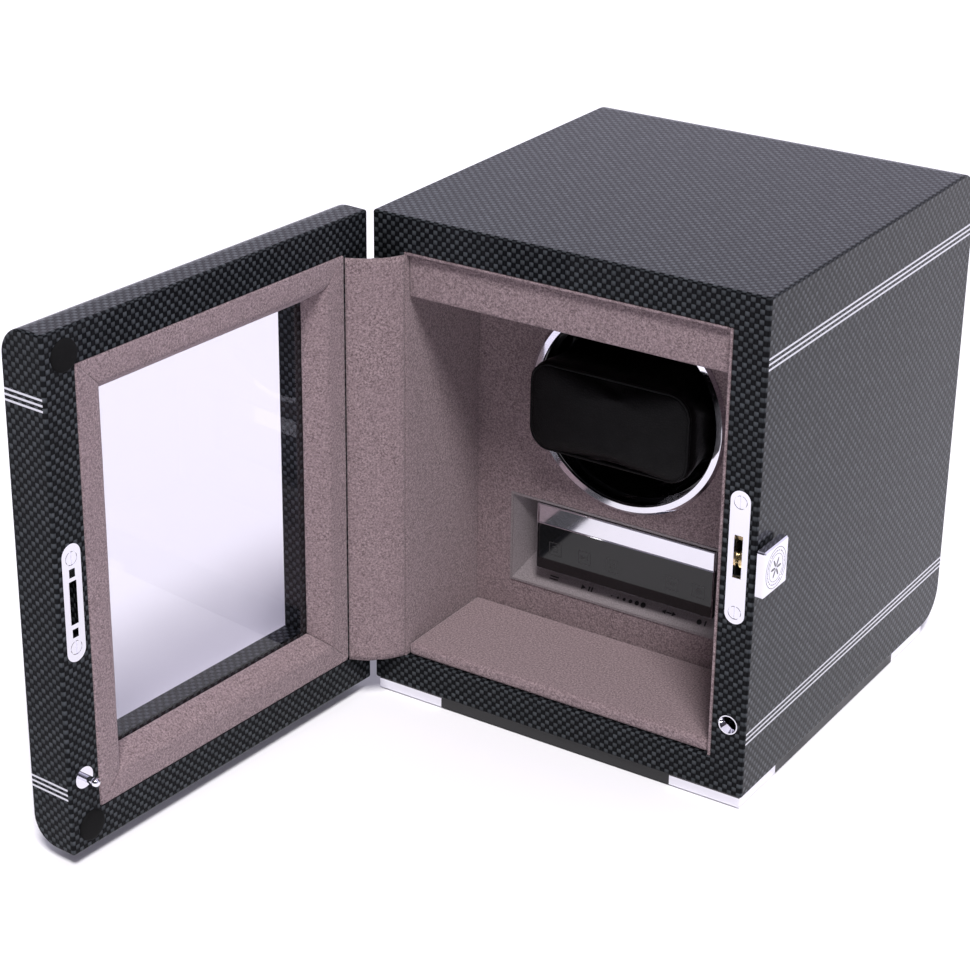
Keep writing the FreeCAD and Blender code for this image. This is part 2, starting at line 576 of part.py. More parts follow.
def make_plug_and_claw():
    x0 = LOCK_X - CASE_HALF_W + 0.2
    plug = cylinder((x0, LOCK_AXIS_Y, LOCK_AXIS_Z), (1, 0, 0), PLUG_R, CABINET_W + 0.4 - x0)
    keyway = box(x0 - 1, LOCK_AXIS_Y - 0.85, LOCK_AXIS_Z - 2.5,
                 CABINET_W + 2, LOCK_AXIS_Y + 0.85, LOCK_AXIS_Z + 2.5)
    claw_x0 = LOCK_X - CLAW_T / 2
    band = ring((claw_x0, LOCK_AXIS_Y, LOCK_AXIS_Z), (1, 0, 0), CLAW_R1, CLAW_R0, CLAW_T)
    reach = CLAW_R1 * 2
    wedge = [(claw_x0, LOCK_AXIS_Y, LOCK_AXIS_Z)]
    for degrees in (CLAW_TIP_DEG, (CLAW_TIP_DEG + CLAW_TAIL_DEG) / 2, CLAW_TAIL_DEG):
        y, z = on_claw(reach, degrees)
        wedge.append((claw_x0, y, z))
    arc = band.common(outline_prism(wedge, (CLAW_T, 0, 0)))
    hub = cylinder((claw_x0, LOCK_AXIS_Y, LOCK_AXIS_Z), (1, 0, 0), 5.0, CLAW_T)
    arm_y, arm_z = on_claw(1.0, CLAW_TAIL_DEG - 12)
    along = V(0, arm_y - LOCK_AXIS_Y, arm_z - LOCK_AXIS_Z)
    across = V(0, -along.z, along.y)
    root = V(claw_x0, LOCK_AXIS_Y, LOCK_AXIS_Z)
    corners = [root - across * 2, root + across * 2, root + across * 2 + along * 12.6,
               root - across * 2 + along * 12.6]
    arm = outline_prism([(p.x, p.y, p.z) for p in corners], (CLAW_T, 0, 0))
    plug_hole = cylinder((claw_x0 - 1, LOCK_AXIS_Y, LOCK_AXIS_Z), (1, 0, 0), PLUG_R, CLAW_T + 2)
    keep("lock_plug", plug.cut(keyway))
    keep("lock_claw", fuse([arc, hub, arm]).cut(plug_hole))


KEY_BOW_SIDE = 20.5
KEY_BOW_T = 3.6
KEY_BOW_X0 = CABINET_W + 1.6


def make_key():
    y, z = LOCK_AXIS_Y, LOCK_AXIS_Z
    half = KEY_BOW_SIDE / 2
    bow = box(KEY_BOW_X0, y - half, z - half, KEY_BOW_X0 + KEY_BOW_T, y + half, z + half)
    bow = bow.makeFillet(1.2, edges_where(bow, lambda e: lies_along(e, "x")))
    bow = bow.makeChamfer(0.6, flat_loop(bow, "x", KEY_BOW_X0 + KEY_BOW_T))
    ring_cut = ring((KEY_BOW_X0 + KEY_BOW_T - 0.25, y, z), (1, 0, 0), 7.4, 7.0, 1)
    collar = cylinder((CABINET_W + 0.7, y, z), (1, 0, 0), 5.5, KEY_BOW_X0 - CABINET_W - 0.7)
    blade = box(LOCK_X - CASE_HALF_W + 0.4, y - 0.75, z - 2.4, CABINET_W + 0.7, y + 0.75, z + 2.4)
    notches = [cylinder((LOCK_X + dx, y - 2, z + 2.9), (0, 1, 0), 0.9, 4) for dx in (-2.0, 0.8, 3.6)]
    keep("key_bow", fuse([bow, collar]).cut(ring_cut))
    keep("key_blade", blade.cut(notches))


PIN_Z = Z_BOTTOM + 33.0


def make_locating_socket():
    """A flanged sleeve whose mouth is a shallow cone that leads the pin in."""
    bore_r, mouth_r, flange_r, sleeve_r, depth = 2.3, 3.8, 4.3, 4.1, 13.0
    profile = [(bore_r, depth), (bore_r, 3.0), (mouth_r, -0.4), (flange_r, -0.4), (flange_r, 0.0),
               (sleeve_r, 0.0), (sleeve_r, depth)]
    cut_from(["body_shell"], [cylinder((LOCK_X, 0, PIN_Z), (0, 1, 0), sleeve_r, depth)])
    keep("locating_socket", revolve_about_y(profile, LOCK_X, PIN_Z))


# ---- back of the cabinet ------------------------------------------------------------------------
INLET_X = 72.0
INLET_Z = COVER_Z0 + 22.0


def make_back_cover():
    cover = box(COVER_X0, CABINET_D - COVER_T, COVER_Z0, COVER_X1, CABINET_D, COVER_Z1)
    cover = cover.makeFillet(0.8, edges_where(cover, lambda e: lies_along(e, "y")))
    screws = [screw(x, CABINET_D, z, (0, -1, 0), 9.0) for x in (COVER_X0 + 3.5, COVER_X1 - 3.5)
              for z in (COVER_Z0 + 3.5, COVER_Z1 - 3.5)]
    vents = [box(DRUM_X - 16, CABINET_D - 5, COVER_Z1 - 24 - i * 5.0, DRUM_X + 16, CABINET_D + 1,
                 COVER_Z1 - 22 - i * 5.0) for i in range(5)]
    thread = cylinder((INLET_X, CABINET_D - 8, INLET_Z), (0, 1, 0), 4.0, 9)
    cut_from(["body_shell"], screws)
    keep("back_cover", cover.cut(vents + screws + [thread]))
    keep("back_cover_screws", group(screws))
    body = box(INLET_X - 5.5, CABINET_D - 16, INLET_Z - 5.5,
               INLET_X + 5.5, CABINET_D - COVER_T, INLET_Z + 5.5)
    neck = cylinder((INLET_X, CABINET_D - COVER_T, INLET_Z), (0, 1, 0), 4.0, COVER_T)
    collar = cylinder((INLET_X, CABINET_D, INLET_Z), (0, 1, 0), 5.5, 1.0)
    mouth = cylinder((INLET_X, CABINET_D - 10, INLET_Z), (0, 1, 0), 2.75, 12)
    jack = fuse([body, neck, collar]).cut(mouth)
    pin = cylinder((INLET_X, CABINET_D - 10.5, INLET_Z), (0, 1, 0), 1.05, 10.0)
    keep("power_inlet", fuse([jack, pin]))


def make_control_board():
    z0 = INNER_Z0 + 6.0
    board = box(62, 92, z0, 122, 142, z0 + 1.6)
    parts = [cylinder((74 + 12 * i, 132, z0 + 1.6), (0, 0, 1), 3.2, 9) for i in range(3)]
    parts.append(box(84, 100, z0 + 1.6, 98, 114, z0 + 4.0))
    parts.append(box(106, 96, z0 + 1.6, 118, 102, z0 + 8.0))
    legs = [cylinder((x, y, INNER_Z0), (0, 0, 1), 2.5, 6.0) for x in (66, 118) for y in (96, 138)]
    keep("control_board", fuse([board] + parts + legs))


# ---- door, built closed -------------------------------------------------------------------------
DOOR_Y = -DOOR_GAP
WINDOW_INSET = 33.0
RAIL_FLAT = 11.5
RAIL_DEPTH = 9.0
RAIL_PROUD = 0.4
GLASS_T = 3.0


def make_door_frame():
    y_in, y_out = DOOR_Y, DOOR_Y - DOOR_T
    frame = box(0, y_out, Z_BOTTOM, CABINET_W, y_in, Z_TOP)
    rounds = [e for z in (Z_BOTTOM, Z_TOP) for e in
              edges_where(frame, lambda e: lies_along(e, "x", y=y_out, z=z))]
    frame = frame.makeFillet(DOOR_ROUND, rounds)
    sides = flat_loop(frame, "x", 0) + flat_loop(frame, "x", CABINET_W)
    inner = [e for z in (Z_BOTTOM, Z_TOP) for e in
             edges_where(frame, lambda e: lies_along(e, "x", y=y_in, z=z))]
    frame = frame.makeFillet(EDGE_ROUND, sides + inner)
    rebate = box(RIM, y_in - RAIL_DEPTH - GLASS_T, Z_BOTTOM + RIM, CABINET_W - RIM, y_in + 1, Z_TOP - RIM)
    window = box(WINDOW_INSET, y_out - 1, Z_BOTTOM + WINDOW_INSET,
                 CABINET_W - WINDOW_INSET, y_in, Z_TOP - WINDOW_INSET)
    frame = frame.cut([rebate, window])
    rim_edges = edges_where(frame, lambda e: any(
        [lies_along(e, "x", y=y_out, z=z) for z in (Z_BOTTOM + WINDOW_INSET, Z_TOP - WINDOW_INSET)]
        + [lies_along(e, "z", y=y_out, x=x) for x in (WINDOW_INSET, CABINET_W - WINDOW_INSET)]))
    keep("door_frame", frame.makeFillet(EDGE_ROUND, rim_edges))


def make_door_glass():
    y1 = DOOR_Y - RAIL_DEPTH
    pane = box(RIM + 0.3, y1 - GLASS_T, Z_BOTTOM + RIM + 0.3, CABINET_W - RIM - 0.3, y1, Z_TOP - RIM - 0.3)
    keep("door_glass", pane)


def rail(corner_a, corner_b, inward):
    """One suede-covered rail between two outer corners, mitred at both ends.

    corner_a and corner_b are (x, z); inward is the unit (x, z) step towards the window.
    """
    run = (math.copysign(1, corner_b[0] - corner_a[0]) if corner_b[0] != corner_a[0] else 0,
           math.copysign(1, corner_b[1] - corner_a[1]) if corner_b[1] != corner_a[1] else 0)
    loops = []
    width = WINDOW_INSET - RIM
    sections = [(0.0, 0.0), (RAIL_FLAT, 0.0), (width, RAIL_DEPTH), (0.0, RAIL_DEPTH)]
    for corner, sign in ((corner_a, 1), (corner_b, -1)):
        points = []
        for across, depth in sections:
            x = corner[0] + inward[0] * across + run[0] * sign * across
            z = corner[1] + inward[1] * across + run[1] * sign * across
            points.append(V(x, DOOR_Y + RAIL_PROUD - depth * (1 + RAIL_PROUD / RAIL_DEPTH), z))
        loops.append(points)
    return between_loops(*loops)


def make_rails():
    x0, x1 = RIM, CABINET_W - RIM
    z0, z1 = Z_BOTTOM + RIM, Z_TOP - RIM
    keep("short_rails", group([rail((x0, z1), (x1, z1), (0, -1)), rail((x0, z0), (x1, z0), (0, 1))]))
    keep("long_rails", group([rail((x0, z0), (x0, z1), (1, 0)), rail((x1, z0), (x1, z1), (-1, 0))]))


STRIKE_HALF_W = 4.85
STRIKE_Z0 = Z_BOTTOM + 84.6
STRIKE_Z1 = Z_BOTTOM + 134.4
STRIKE_PROUD = 0.5
STRIKE_T = 1.2


def make_strike():
    y1 = DOOR_Y + STRIKE_PROUD
    y0 = y1 - STRIKE_T
    plate = rounded_plate(LOCK_X, y0, y1, STRIKE_Z0, STRIKE_Z1, STRIKE_HALF_W)
    slot = box(LOCK_X - BOLT_HALF_W, y0 - 1, BOLT_Z0 + 0.6, LOCK_X + BOLT_HALF_W, y1 + 1, BOLT_Z1)
    holes = [box(LOCK_X - 1.5, y0 - 1, z - 1.8, LOCK_X + 1.5, y1 + 1, z + 1.8)
             for z in (STRIKE_Z0 + 12.2, STRIKE_Z1 - 12.2)]
    heads = [(LOCK_X, y1, z) for z in (STRIKE_Z0 + 6.0, STRIKE_Z1 - 6.0)]
    screws = [screw(*head, (0, -1, 0), 11.0, PLATE_SCREW_R) for head in heads]
    grooves = [cylinder(head, (0, -1, 0), PLATE_SCREW_R + SCREW_GROOVE, GROOVE_DEPTH) for head in heads]
    seat = rounded_plate(LOCK_X, y0, DOOR_Y + 1, STRIKE_Z0, STRIKE_Z1, STRIKE_HALF_W)
    pocket = box(LOCK_X - 2.6, y0 - 7.5, Z_BOTTOM + 94.0, LOCK_X + 2.6, y0, BOLT_Z1 + 1.5)
    cut_from(["door_frame"], [seat, pocket] + screws)
    keep("strike_plate", plate.cut([slot] + holes + grooves + screws))
    keep("strike_screws", group(screws))


def make_locating_pin():
    """A ball-ended pin on a flat rosette, held by a tang in the door."""
    rosette_r, shank_r, ball_r, tang_r = 4.6, 1.55, 1.9, 1.4
    rosette = cylinder((LOCK_X, DOOR_Y - 0.4, PIN_Z), (0, 1, 0), rosette_r, 0.9)
    shank = cylinder((LOCK_X, DOOR_Y + 0.5, PIN_Z), (0, 1, 0), shank_r, 5.4)
    ball = Part.makeSphere(ball_r, V(LOCK_X, DOOR_Y + 6.5, PIN_Z))
    tang = cylinder((LOCK_X, DOOR_Y - 8.0, PIN_Z), (0, 1, 0), tang_r, 7.6)
    seat = cylinder((LOCK_X, DOOR_Y - 0.4, PIN_Z), (0, 1, 0), rosette_r, 2.0)
    cut_from(["door_frame"], [seat, tang])
    keep("locating_pin", fuse([rosette, shank, ball, tang]))


BUMPER_R = 6.6
BUMPER_INSET = 10.6


def make_bumpers():
    discs = []
    for z in (Z_BOTTOM + BUMPER_INSET - 0.8, Z_TOP - BUMPER_INSET):
        disc = cylinder((CABINET_W - BUMPER_INSET, DOOR_Y, z), (0, 1, 0), BUMPER_R, 1.4)
        discs.append(disc.makeFillet(0.5, flat_loop(disc, "y", DOOR_Y + 1.4)))
    rails = [pieces["short_rails"], pieces["long_rails"]]
    keep("door_bumpers", group([d.cut(rails) for d in discs]))


def make_door_inlays():
    faces = ((0.0, 1), (CABINET_W, -1))
    strips = inlay_lines(faces, DOOR_Y - DOOR_T + 0.8, DOOR_Y - EDGE_ROUND)
    cut_from(["door_frame"], strips)
    keep("door_inlays", group(strips))


# ---- hinges -------------------------------------------------------------------------------------
def knuckle(z0, z1, outer=BARREL_R, inner=HINGE_PIN_R):
    return ring((HINGE_X, HINGE_Y, z0), (0, 0, 1), outer, inner, z1 - z0)


def make_hinges():
    body_leaves, door_leaves, pins, body_screws, door_screws = [], [], [], [], []
    third = HINGE_H / 3
    for z_mid in HINGE_Z:
        z0, z1 = z_mid - HINGE_H / 2, z_mid + HINGE_H / 2
        clear = cylinder((HINGE_X, HINGE_Y, z0 - 0.5), (0, 0, 1), BARREL_R + 0.35, HINGE_H + 1)
        cut_from(["body_shell", "door_frame"], [clear])
        mid_clear = cylinder((HINGE_X, HINGE_Y, z0 + third - 0.15), (0, 0, 1), BARREL_R + 0.3, third + 0.3)
        end_clear = [cylinder((HINGE_X, HINGE_Y, z), (0, 0, 1), BARREL_R + 0.3, third + 0.15)
                     for z in (z0 - 0.15, z1 - third)]
        bore = cylinder((HINGE_X, HINGE_Y, z0 - 1), (0, 0, 1), HINGE_PIN_R, HINGE_H + 2)
        loose = cylinder((HINGE_X, HINGE_Y, z0 - 1), (0, 0, 1), HINGE_PIN_R + RUN_CLEARANCE, HINGE_H + 2)
        body_plate = box(HINGE_X, -LEAF_T, z0, LEAF_W, 0, z1).cut([mid_clear, bore])
        ends = [knuckle(z0, z0 + third - 0.15), knuckle(z1 - third + 0.15, z1)]
        body_leaves.append(fuse([body_plate] + ends).cut(bore))
        door_plate = box(HINGE_X, DOOR_Y, z0, LEAF_W, DOOR_Y + LEAF_T, z1).cut(end_clear + [loose])
        middle = knuckle(z0 + third + 0.15, z1 - third - 0.15)
        door_leaves.append(fuse([door_plate, middle]).cut(loose))
        pins.append(cylinder((HINGE_X, HINGE_Y, z0), (0, 0, 1), HINGE_PIN_R, HINGE_H))
        for dz in (-13.0, 0.0, 13.0):
            body_screws.append(screw(7.5, -LEAF_T, z_mid + dz, (0, 1, 0), 9.0, 1.6, 0.9, LEAF_T))
            door_screws.append(screw(7.5, DOOR_Y + LEAF_T, z_mid + dz, (0, -1, 0), 9.0, 1.6, 0.9, LEAF_T))
    keep("hinge_body_leaves", group([leaf.cut(body_screws) for leaf in body_leaves]))
    keep("hinge_door_leaves", group([leaf.cut(door_screws) for leaf in door_leaves]))
    keep("hinge_pins", group(pins))
    keep("hinge_body_screws", group(body_screws))
    keep("hinge_door_screws", group(door_screws))
    cut_from(["body_shell"], body_screws)
    cut_from(["door_frame"], door_screws)


DOOR_PIECES = ("door_frame", "door_glass", "short_rails", "long_rails", "strike_plate", "strike_screws",
               "locating_pin", "door_bumpers", "door_inlays", "hinge_door_leaves", "hinge_door_screws")


# ---- suede gusset across the hinge corner -------------------------------------------------------
GUSSET_T = 0.8
GUSSET_BULGE = 2.6
GUSSET_Z0 = INNER_Z0 + 1.0
GUSSET_Z1 = INNER_Z1 - 1.0


def make_gusset():
    """A soft strip from the left liner's front edge to the open door's hinge-side rail."""
    start = V(RIM - 0.4, -1.0, 0)
    end = swing_open(Part.Vertex(V(RIM - 0.6, DOOR_Y + 1.3, 0))).Point
    chord = end - start
    outward = V(-chord.y, chord.x, 0).normalize()
    middle = start + chord * 0.5 + outward * GUSSET_BULGE

    def arc(offset):
        shift = outward * offset
        return Part.Arc(start + shift, middle + shift, end + shift).toShape()

    near, far = arc(GUSSET_T), arc(0.0)
    ends = [Part.makeLine(far.Vertexes[i].Point, near.Vertexes[i].Point) for i in (0, 1)]
    wire = Part.Wire(Part.__sortEdges__([near, ends[0], far, ends[1]]))
    strip = Part.Face(wire).extrude(V(0, 0, GUSSET_Z1 - GUSSET_Z0))
    strip.translate(V(0, 0, GUSSET_Z0))
    keep("hinge_gusset", strip)


# ---- build, move to the origin and write --------------------------------------------------------
def build():
    make_body_shell()
    make_body_inlays()
    make_base()
    make_lining()
    make_back_panel()
    make_control_tray()
    make_control_module()
    make_bezel_ring()
    make_cup()
    make_drive()
    make_motor()
    make_winder_frame()
    make_cushion()
    make_lock()
    make_plug_and_claw()
    make_key()
    make_locating_socket()
    make_back_cover()
    make_control_board()
    make_door_frame()
    make_door_glass()
    make_rails()
    make_strike()
    make_locating_pin()
    make_bumpers()
    make_door_inlays()
    make_hinges()
    for name in DOOR_PIECES:
        pieces[name] = swing_open(pieces[name])
    make_gusset()


def origin_shift():
    """The move that puts the origin at the bottom centre of the whole object."""
    outermost = ("body_shell", "door_frame", "key_bow", "feet", "power_inlet")
    outer = Part.makeCompound([pieces[n] for n in outermost])
    b = outer.optimalBoundingBox(False)
    return V(-(b.XMin + b.XMax) / 2, -(b.YMin + b.YMax) / 2, -b.ZMin)


def main():
    os.makedirs("parts", exist_ok=True)
    build()
    shift = origin_shift()
    for name, shape in pieces.items():
        moved = shape.copy()
        moved.translate(shift)
        if not moved.isValid():
            print("NOT VALID:", name)
        moved.exportStep(os.path.join("parts", name + ".step"))
    print(len(pieces), "nodes; box frame moved by", [round(c, 4) for c in shift])


main()
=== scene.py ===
"""Looks of the watch winder box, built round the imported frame."""

import json
import math

import bmesh
import bpy
from mathutils.bvhtree import BVHTree
from mathutils import Matrix, Vector, noise


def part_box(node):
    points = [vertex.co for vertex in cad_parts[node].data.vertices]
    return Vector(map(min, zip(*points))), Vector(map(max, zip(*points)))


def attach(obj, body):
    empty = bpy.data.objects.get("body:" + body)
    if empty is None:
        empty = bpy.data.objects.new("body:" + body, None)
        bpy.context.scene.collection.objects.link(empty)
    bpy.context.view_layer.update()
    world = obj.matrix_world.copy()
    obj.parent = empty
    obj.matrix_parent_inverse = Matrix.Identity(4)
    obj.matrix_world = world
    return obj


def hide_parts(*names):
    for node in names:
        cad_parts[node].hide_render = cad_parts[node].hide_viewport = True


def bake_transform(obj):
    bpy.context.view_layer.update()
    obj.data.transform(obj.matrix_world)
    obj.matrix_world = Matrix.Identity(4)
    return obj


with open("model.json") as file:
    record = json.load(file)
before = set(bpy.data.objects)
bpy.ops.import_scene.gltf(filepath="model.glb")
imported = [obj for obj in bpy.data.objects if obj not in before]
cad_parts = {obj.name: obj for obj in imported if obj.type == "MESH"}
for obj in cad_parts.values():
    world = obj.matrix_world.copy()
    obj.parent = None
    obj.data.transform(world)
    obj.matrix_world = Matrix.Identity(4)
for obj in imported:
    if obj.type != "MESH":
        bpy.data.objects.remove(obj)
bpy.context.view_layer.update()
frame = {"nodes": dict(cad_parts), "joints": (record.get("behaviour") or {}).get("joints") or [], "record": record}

MM = 0.001
NODES = frame["nodes"]
JOINTS = {j["name"]: j for j in frame["joints"]}
SLOT_OF = {s["node"]: s["material_slot"] for s in frame["record"]["subparts"]}
SHELL_LO, SHELL_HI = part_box("body_shell")

# sizes of the object, in millimetres
RIM = 15.5
DOOR_GAP = 1.6
RAIL_FLAT = 11.5
RAIL_PROUD = 0.4
RAIL_DEPTH = 9.0
WINDOW_INSET = 33.0
WIDTH = (SHELL_HI.x - SHELL_LO.x) / MM
HEIGHT = (SHELL_HI.z - SHELL_LO.z) / MM


# ---- places -------------------------------------------------------------------------------------
def at(x, y, z):
    """A point given in millimetres right of, behind and above the shell's front lower left corner."""
    return SHELL_LO + Vector((x, y, z)) * MM


def door_swing():
    """Takes a point of the closed door to where the open door holds it."""
    hinge = JOINTS["door_hinge"]
    pivot = Matrix.Translation(Vector(hinge["pos_m"]))
    turn = Matrix.Rotation(math.radians(-hinge["range_deg"][0]), 4, Vector(hinge["axis"]))
    return pivot @ turn @ pivot.inverted()


SWING = door_swing()


def on_door(x, y, z):
    """The same for a point of the closed door, taken to where the open door holds it."""
    return SWING @ at(x, y, z)


# ---- node trees ---------------------------------------------------------------------------------
class Tree:
    """A small helper round one material's node tree."""

    def __init__(self, name):
        self.material = bpy.data.materials.new(name)
        self.material.use_nodes = True
        self.tree = self.material.node_tree
        self.tree.nodes.clear()
        self.output = self.tree.nodes.new("ShaderNodeOutputMaterial")
        self.coords = self.tree.nodes.new("ShaderNodeTexCoord")

    def node(self, kind, **settings):
        made = self.tree.nodes.new(kind)
        for key, value in settings.items():
            setattr(made, key, value)
        return made

    def feed(self, socket, value):
        if isinstance(value, bpy.types.NodeSocket):
            self.tree.links.new(value, socket)
        else:
            socket.default_value = value

    def math(self, operation, *values):
        made = self.node("ShaderNodeMath", operation=operation)
        for socket, value in zip(made.inputs, values):
            self.feed(socket, value)
        return made.outputs[0]

    def noise(self, scale, detail=3.0, roughness=0.5, vector=None):
        made = self.node("ShaderNodeTexNoise")
        self.feed(made.inputs["Vector"], vector or self.coords.outputs["Object"])
        made.inputs["Scale"].default_value = scale
        made.inputs["Detail"].default_value = detail
        made.inputs["Roughness"].default_value = roughness
        return made.outputs["Fac"]

    def stretched(self, x, y, z):
        made = self.node("ShaderNodeMapping")
        self.feed(made.inputs["Vector"], self.coords.outputs["Object"])
        made.inputs["Scale"].default_value = (x, y, z)
        return made.outputs["Vector"]

    def mix(self, factor, first, second):
        made = self.node("ShaderNodeMix", data_type="RGBA")
        self.feed(made.inputs["Factor"], factor)
        self.feed(made.inputs["A"], first)
        self.feed(made.inputs["B"], second)
        return made.outputs["Result"]

    def remap(self, value, low, high, to_low=0.0, to_high=1.0):
        made = self.node("ShaderNodeMapRange")
        for socket, setting in zip(made.inputs, (value, low, high, to_low, to_high)):
            self.feed(socket, setting)
        return made.outputs["Result"]

    def bump(self, height, strength, distance):
        made = self.node("ShaderNodeBump")
        made.inputs["Strength"].default_value = strength
        made.inputs["Distance"].default_value = distance
        self.feed(made.inputs["Height"], height)
        return made.outputs["Normal"]

    def principled(self, **sockets):
        made = self.node("ShaderNodeBsdfPrincipled")
        for key, value in sockets.items():
            self.feed(made.inputs[key.replace("_", " ")], value)
        self.tree.links.new(made.outputs["BSDF"], self.output.inputs["Surface"])
        return self.material


def rgb(r, g, b):
    return (r, g, b, 1.0)


# ---- materials ----------------------------------------------------------------------------------
WEAVE_CELL = 2.1 * MM
# WEFT_FULLNESS shapes the painted sheen on each bright cell's crown. WARP_SHINE is the faint painted sheen on the
# dark cells.
WEFT_FULLNESS = 0.28
WARP_SHINE = 0.05
FACE_TURN = 0.7
FIBRE_ACROSS, FIBRE_ALONG = 2600, 420


def carbon_lacquer():
    """Plain carbon weave under a clear gloss coat, laid flat on each face by the way the face looks. The checker
    of the weave is real. Painted sheen and painted highlight give the brightness of the bright cells, their
    rounded crowns, the faint middles of the dark cells and the brighter top of each cell.
    """
    t = Tree("carbon_lacquer")
    place = t.node("ShaderNodeSeparateXYZ")
    t.feed(place.inputs[0], t.coords.outputs["Object"])
    facing = t.node("ShaderNodeSeparateXYZ")
    t.feed(facing.inputs[0], t.coords.outputs["Normal"])
    x, y, z = place.outputs
    side = t.math("GREATER_THAN", t.math("ABSOLUTE", facing.outputs["X"]), FACE_TURN)
    flat = t.math("GREATER_THAN", t.math("ABSOLUTE", facing.outputs["Z"]), FACE_TURN)
    across = t.math("ADD", x, t.math("MULTIPLY", side, t.math("SUBTRACT", y, x)))
    along = t.math("ADD", z, t.math("MULTIPLY", flat, t.math("SUBTRACT", y, z)))
    u = t.math("DIVIDE", across, WEAVE_CELL)
    v = t.math("DIVIDE", along, WEAVE_CELL)
    cell = t.node("ShaderNodeCombineXYZ")
    t.feed(cell.inputs[0], t.math("FLOOR", u))
    t.feed(cell.inputs[1], t.math("FLOOR", v))
    parity = t.math("FLOORED_MODULO", t.math("ADD", t.math("FLOOR", u), t.math("FLOOR", v)), 2.0)
    # Painted sheen: the crowns give each cell a lit middle and shaded edges.
    crown_sheen_u = t.math("ABSOLUTE", t.math("SINE", t.math("MULTIPLY", u, math.pi)))
    crown_sheen_v = t.math("ABSOLUTE", t.math("SINE", t.math("MULTIPLY", v, math.pi)))
    # Painted highlight: roll makes each cell brighter towards its top, as if lit from above.
    roll = t.remap(t.math("FRACT", v), 0.0, 1.0, 0.35, 1.15)
    pillow = t.math("POWER", t.math("MULTIPLY", crown_sheen_u, crown_sheen_v), WEFT_FULLNESS)
    painted_weft_sheen = t.math("MULTIPLY", pillow, roll)
    painted_warp_sheen = t.math("MULTIPLY", t.math("POWER", crown_sheen_u, 3.0), WARP_SHINE)
    chance = t.node("ShaderNodeTexWhiteNoise", noise_dimensions="2D")
    t.feed(chance.inputs["Vector"], cell.outputs[0])
    uneven = t.remap(chance.outputs["Value"], 0.0, 1.0, 0.72, 1.15)
    strands = t.stretched(FIBRE_ACROSS, FIBRE_ACROSS, FIBRE_ALONG)
    fibres = t.remap(t.noise(1.0, 2.0, 0.6, strands), 0.3, 0.7, 0.75, 1.2)
    painted_tow_sheen = t.math("ADD", painted_warp_sheen, t.math("MULTIPLY", parity, t.math("SUBTRACT", painted_weft_sheen, painted_warp_sheen)))
    lit = t.math("MULTIPLY", painted_tow_sheen, t.math("MULTIPLY", fibres, uneven))
    # The bright colour is painted sheen of the tows. Real fibre streaks and cell-to-cell tone make it uneven.
    colour = t.mix(lit, rgb(0.0015, 0.0017, 0.0024), rgb(0.066, 0.073, 0.081))
    slant = t.node("ShaderNodeLayerWeight")
    slant.inputs["Blend"].default_value = 0.5
    gloss = t.remap(slant.outputs["Facing"], 0.42, 0.62, 0.15, 0.56)
    ripple = t.bump(t.noise(35.0, 1.0), 0.02, 0.0004)
    return t.principled(Base_Color=colour, Roughness=t.remap(lit, 0.0, 1.0, 0.6, 0.42), IOR=1.3,
                        Specular_IOR_Level=0.1, Coat_Weight=gloss, Coat_Roughness=0.015,
                        Coat_IOR=1.3, Coat_Normal=ripple)


def suede():
    """Short brushed nap: cloudy strokes where it has been stroked, and a fine mottled grain."""
    t = Tree("suede")
    strokes = t.noise(70.0, 4.0, 0.62)
    grain = t.noise(1250.0, 3.0, 0.75)
    fleck = t.remap(grain, 0.36, 0.64)
    nap = t.mix(fleck, rgb(0.092, 0.064, 0.069), rgb(0.362, 0.276, 0.288))
    cloud = t.remap(strokes, 0.32, 0.68, 0.0, 0.30)
    colour = t.mix(cloud, nap, rgb(0.225, 0.164, 0.178))
    height = t.math("ADD", t.math("MULTIPLY", grain, 1.2), strokes)
    return t.principled(Base_Color=colour, Roughness=0.95, Specular_IOR_Level=0.15,
                        Sheen_Weight=0.3, Sheen_Roughness=0.5, Sheen_Tint=rgb(0.85, 0.76, 0.80),
                        Normal=t.bump(height, 0.6, 0.0005))


def chrome():
    """Bright plating with the faint haze of wiping."""
    t = Tree("chrome")
    haze = t.remap(t.noise(160.0, 3.0), 0.35, 0.65, 0.035, 0.075)
    colour = t.mix(t.noise(40.0, 1.0), rgb(0.79, 0.78, 0.84), rgb(0.83, 0.82, 0.88))
    return t.principled(Base_Color=colour, Metallic=1.0, Roughness=haze)


def inlay_metal():
    """Fine brushed silver strip."""
    t = Tree("inlay_metal")
    lines = t.noise(1.0, 3.0, 0.6, t.stretched(300, 300, 6000))
    colour = t.mix(lines, rgb(0.50, 0.50, 0.54), rgb(0.66, 0.66, 0.70))
    return t.principled(Base_Color=colour, Metallic=0.75,
                        Roughness=t.remap(lines, 0.3, 0.7, 0.24, 0.40),
                        Coat_Weight=0.6, Coat_Roughness=0.02)


def moulded(name, dark, light, low, high, grain=1800.0, depth=0.00008, specular=0.5):
    """Moulded or painted surface with a fine texture and uneven gloss."""
    t = Tree(name)
    patches = t.noise(60.0, 3.0)
    return t.principled(Base_Color=t.mix(patches, rgb(*dark), rgb(*light)),
                        Roughness=t.remap(patches, 0.3, 0.7, low, high),
                        Specular_IOR_Level=specular,
                        Normal=t.bump(t.noise(grain, 2.0), 0.25, depth))


def metal(name, dark, light, low, high):
    """Turned or drawn metal with a fine directional grain."""
    t = Tree(name)
    lines = t.noise(1.0, 3.0, 0.6, t.stretched(900, 120, 900))
    return t.principled(Base_Color=t.mix(lines, rgb(*dark), rgb(*light)), Metallic=1.0,
                        Roughness=t.remap(lines, 0.3, 0.7, low, high))


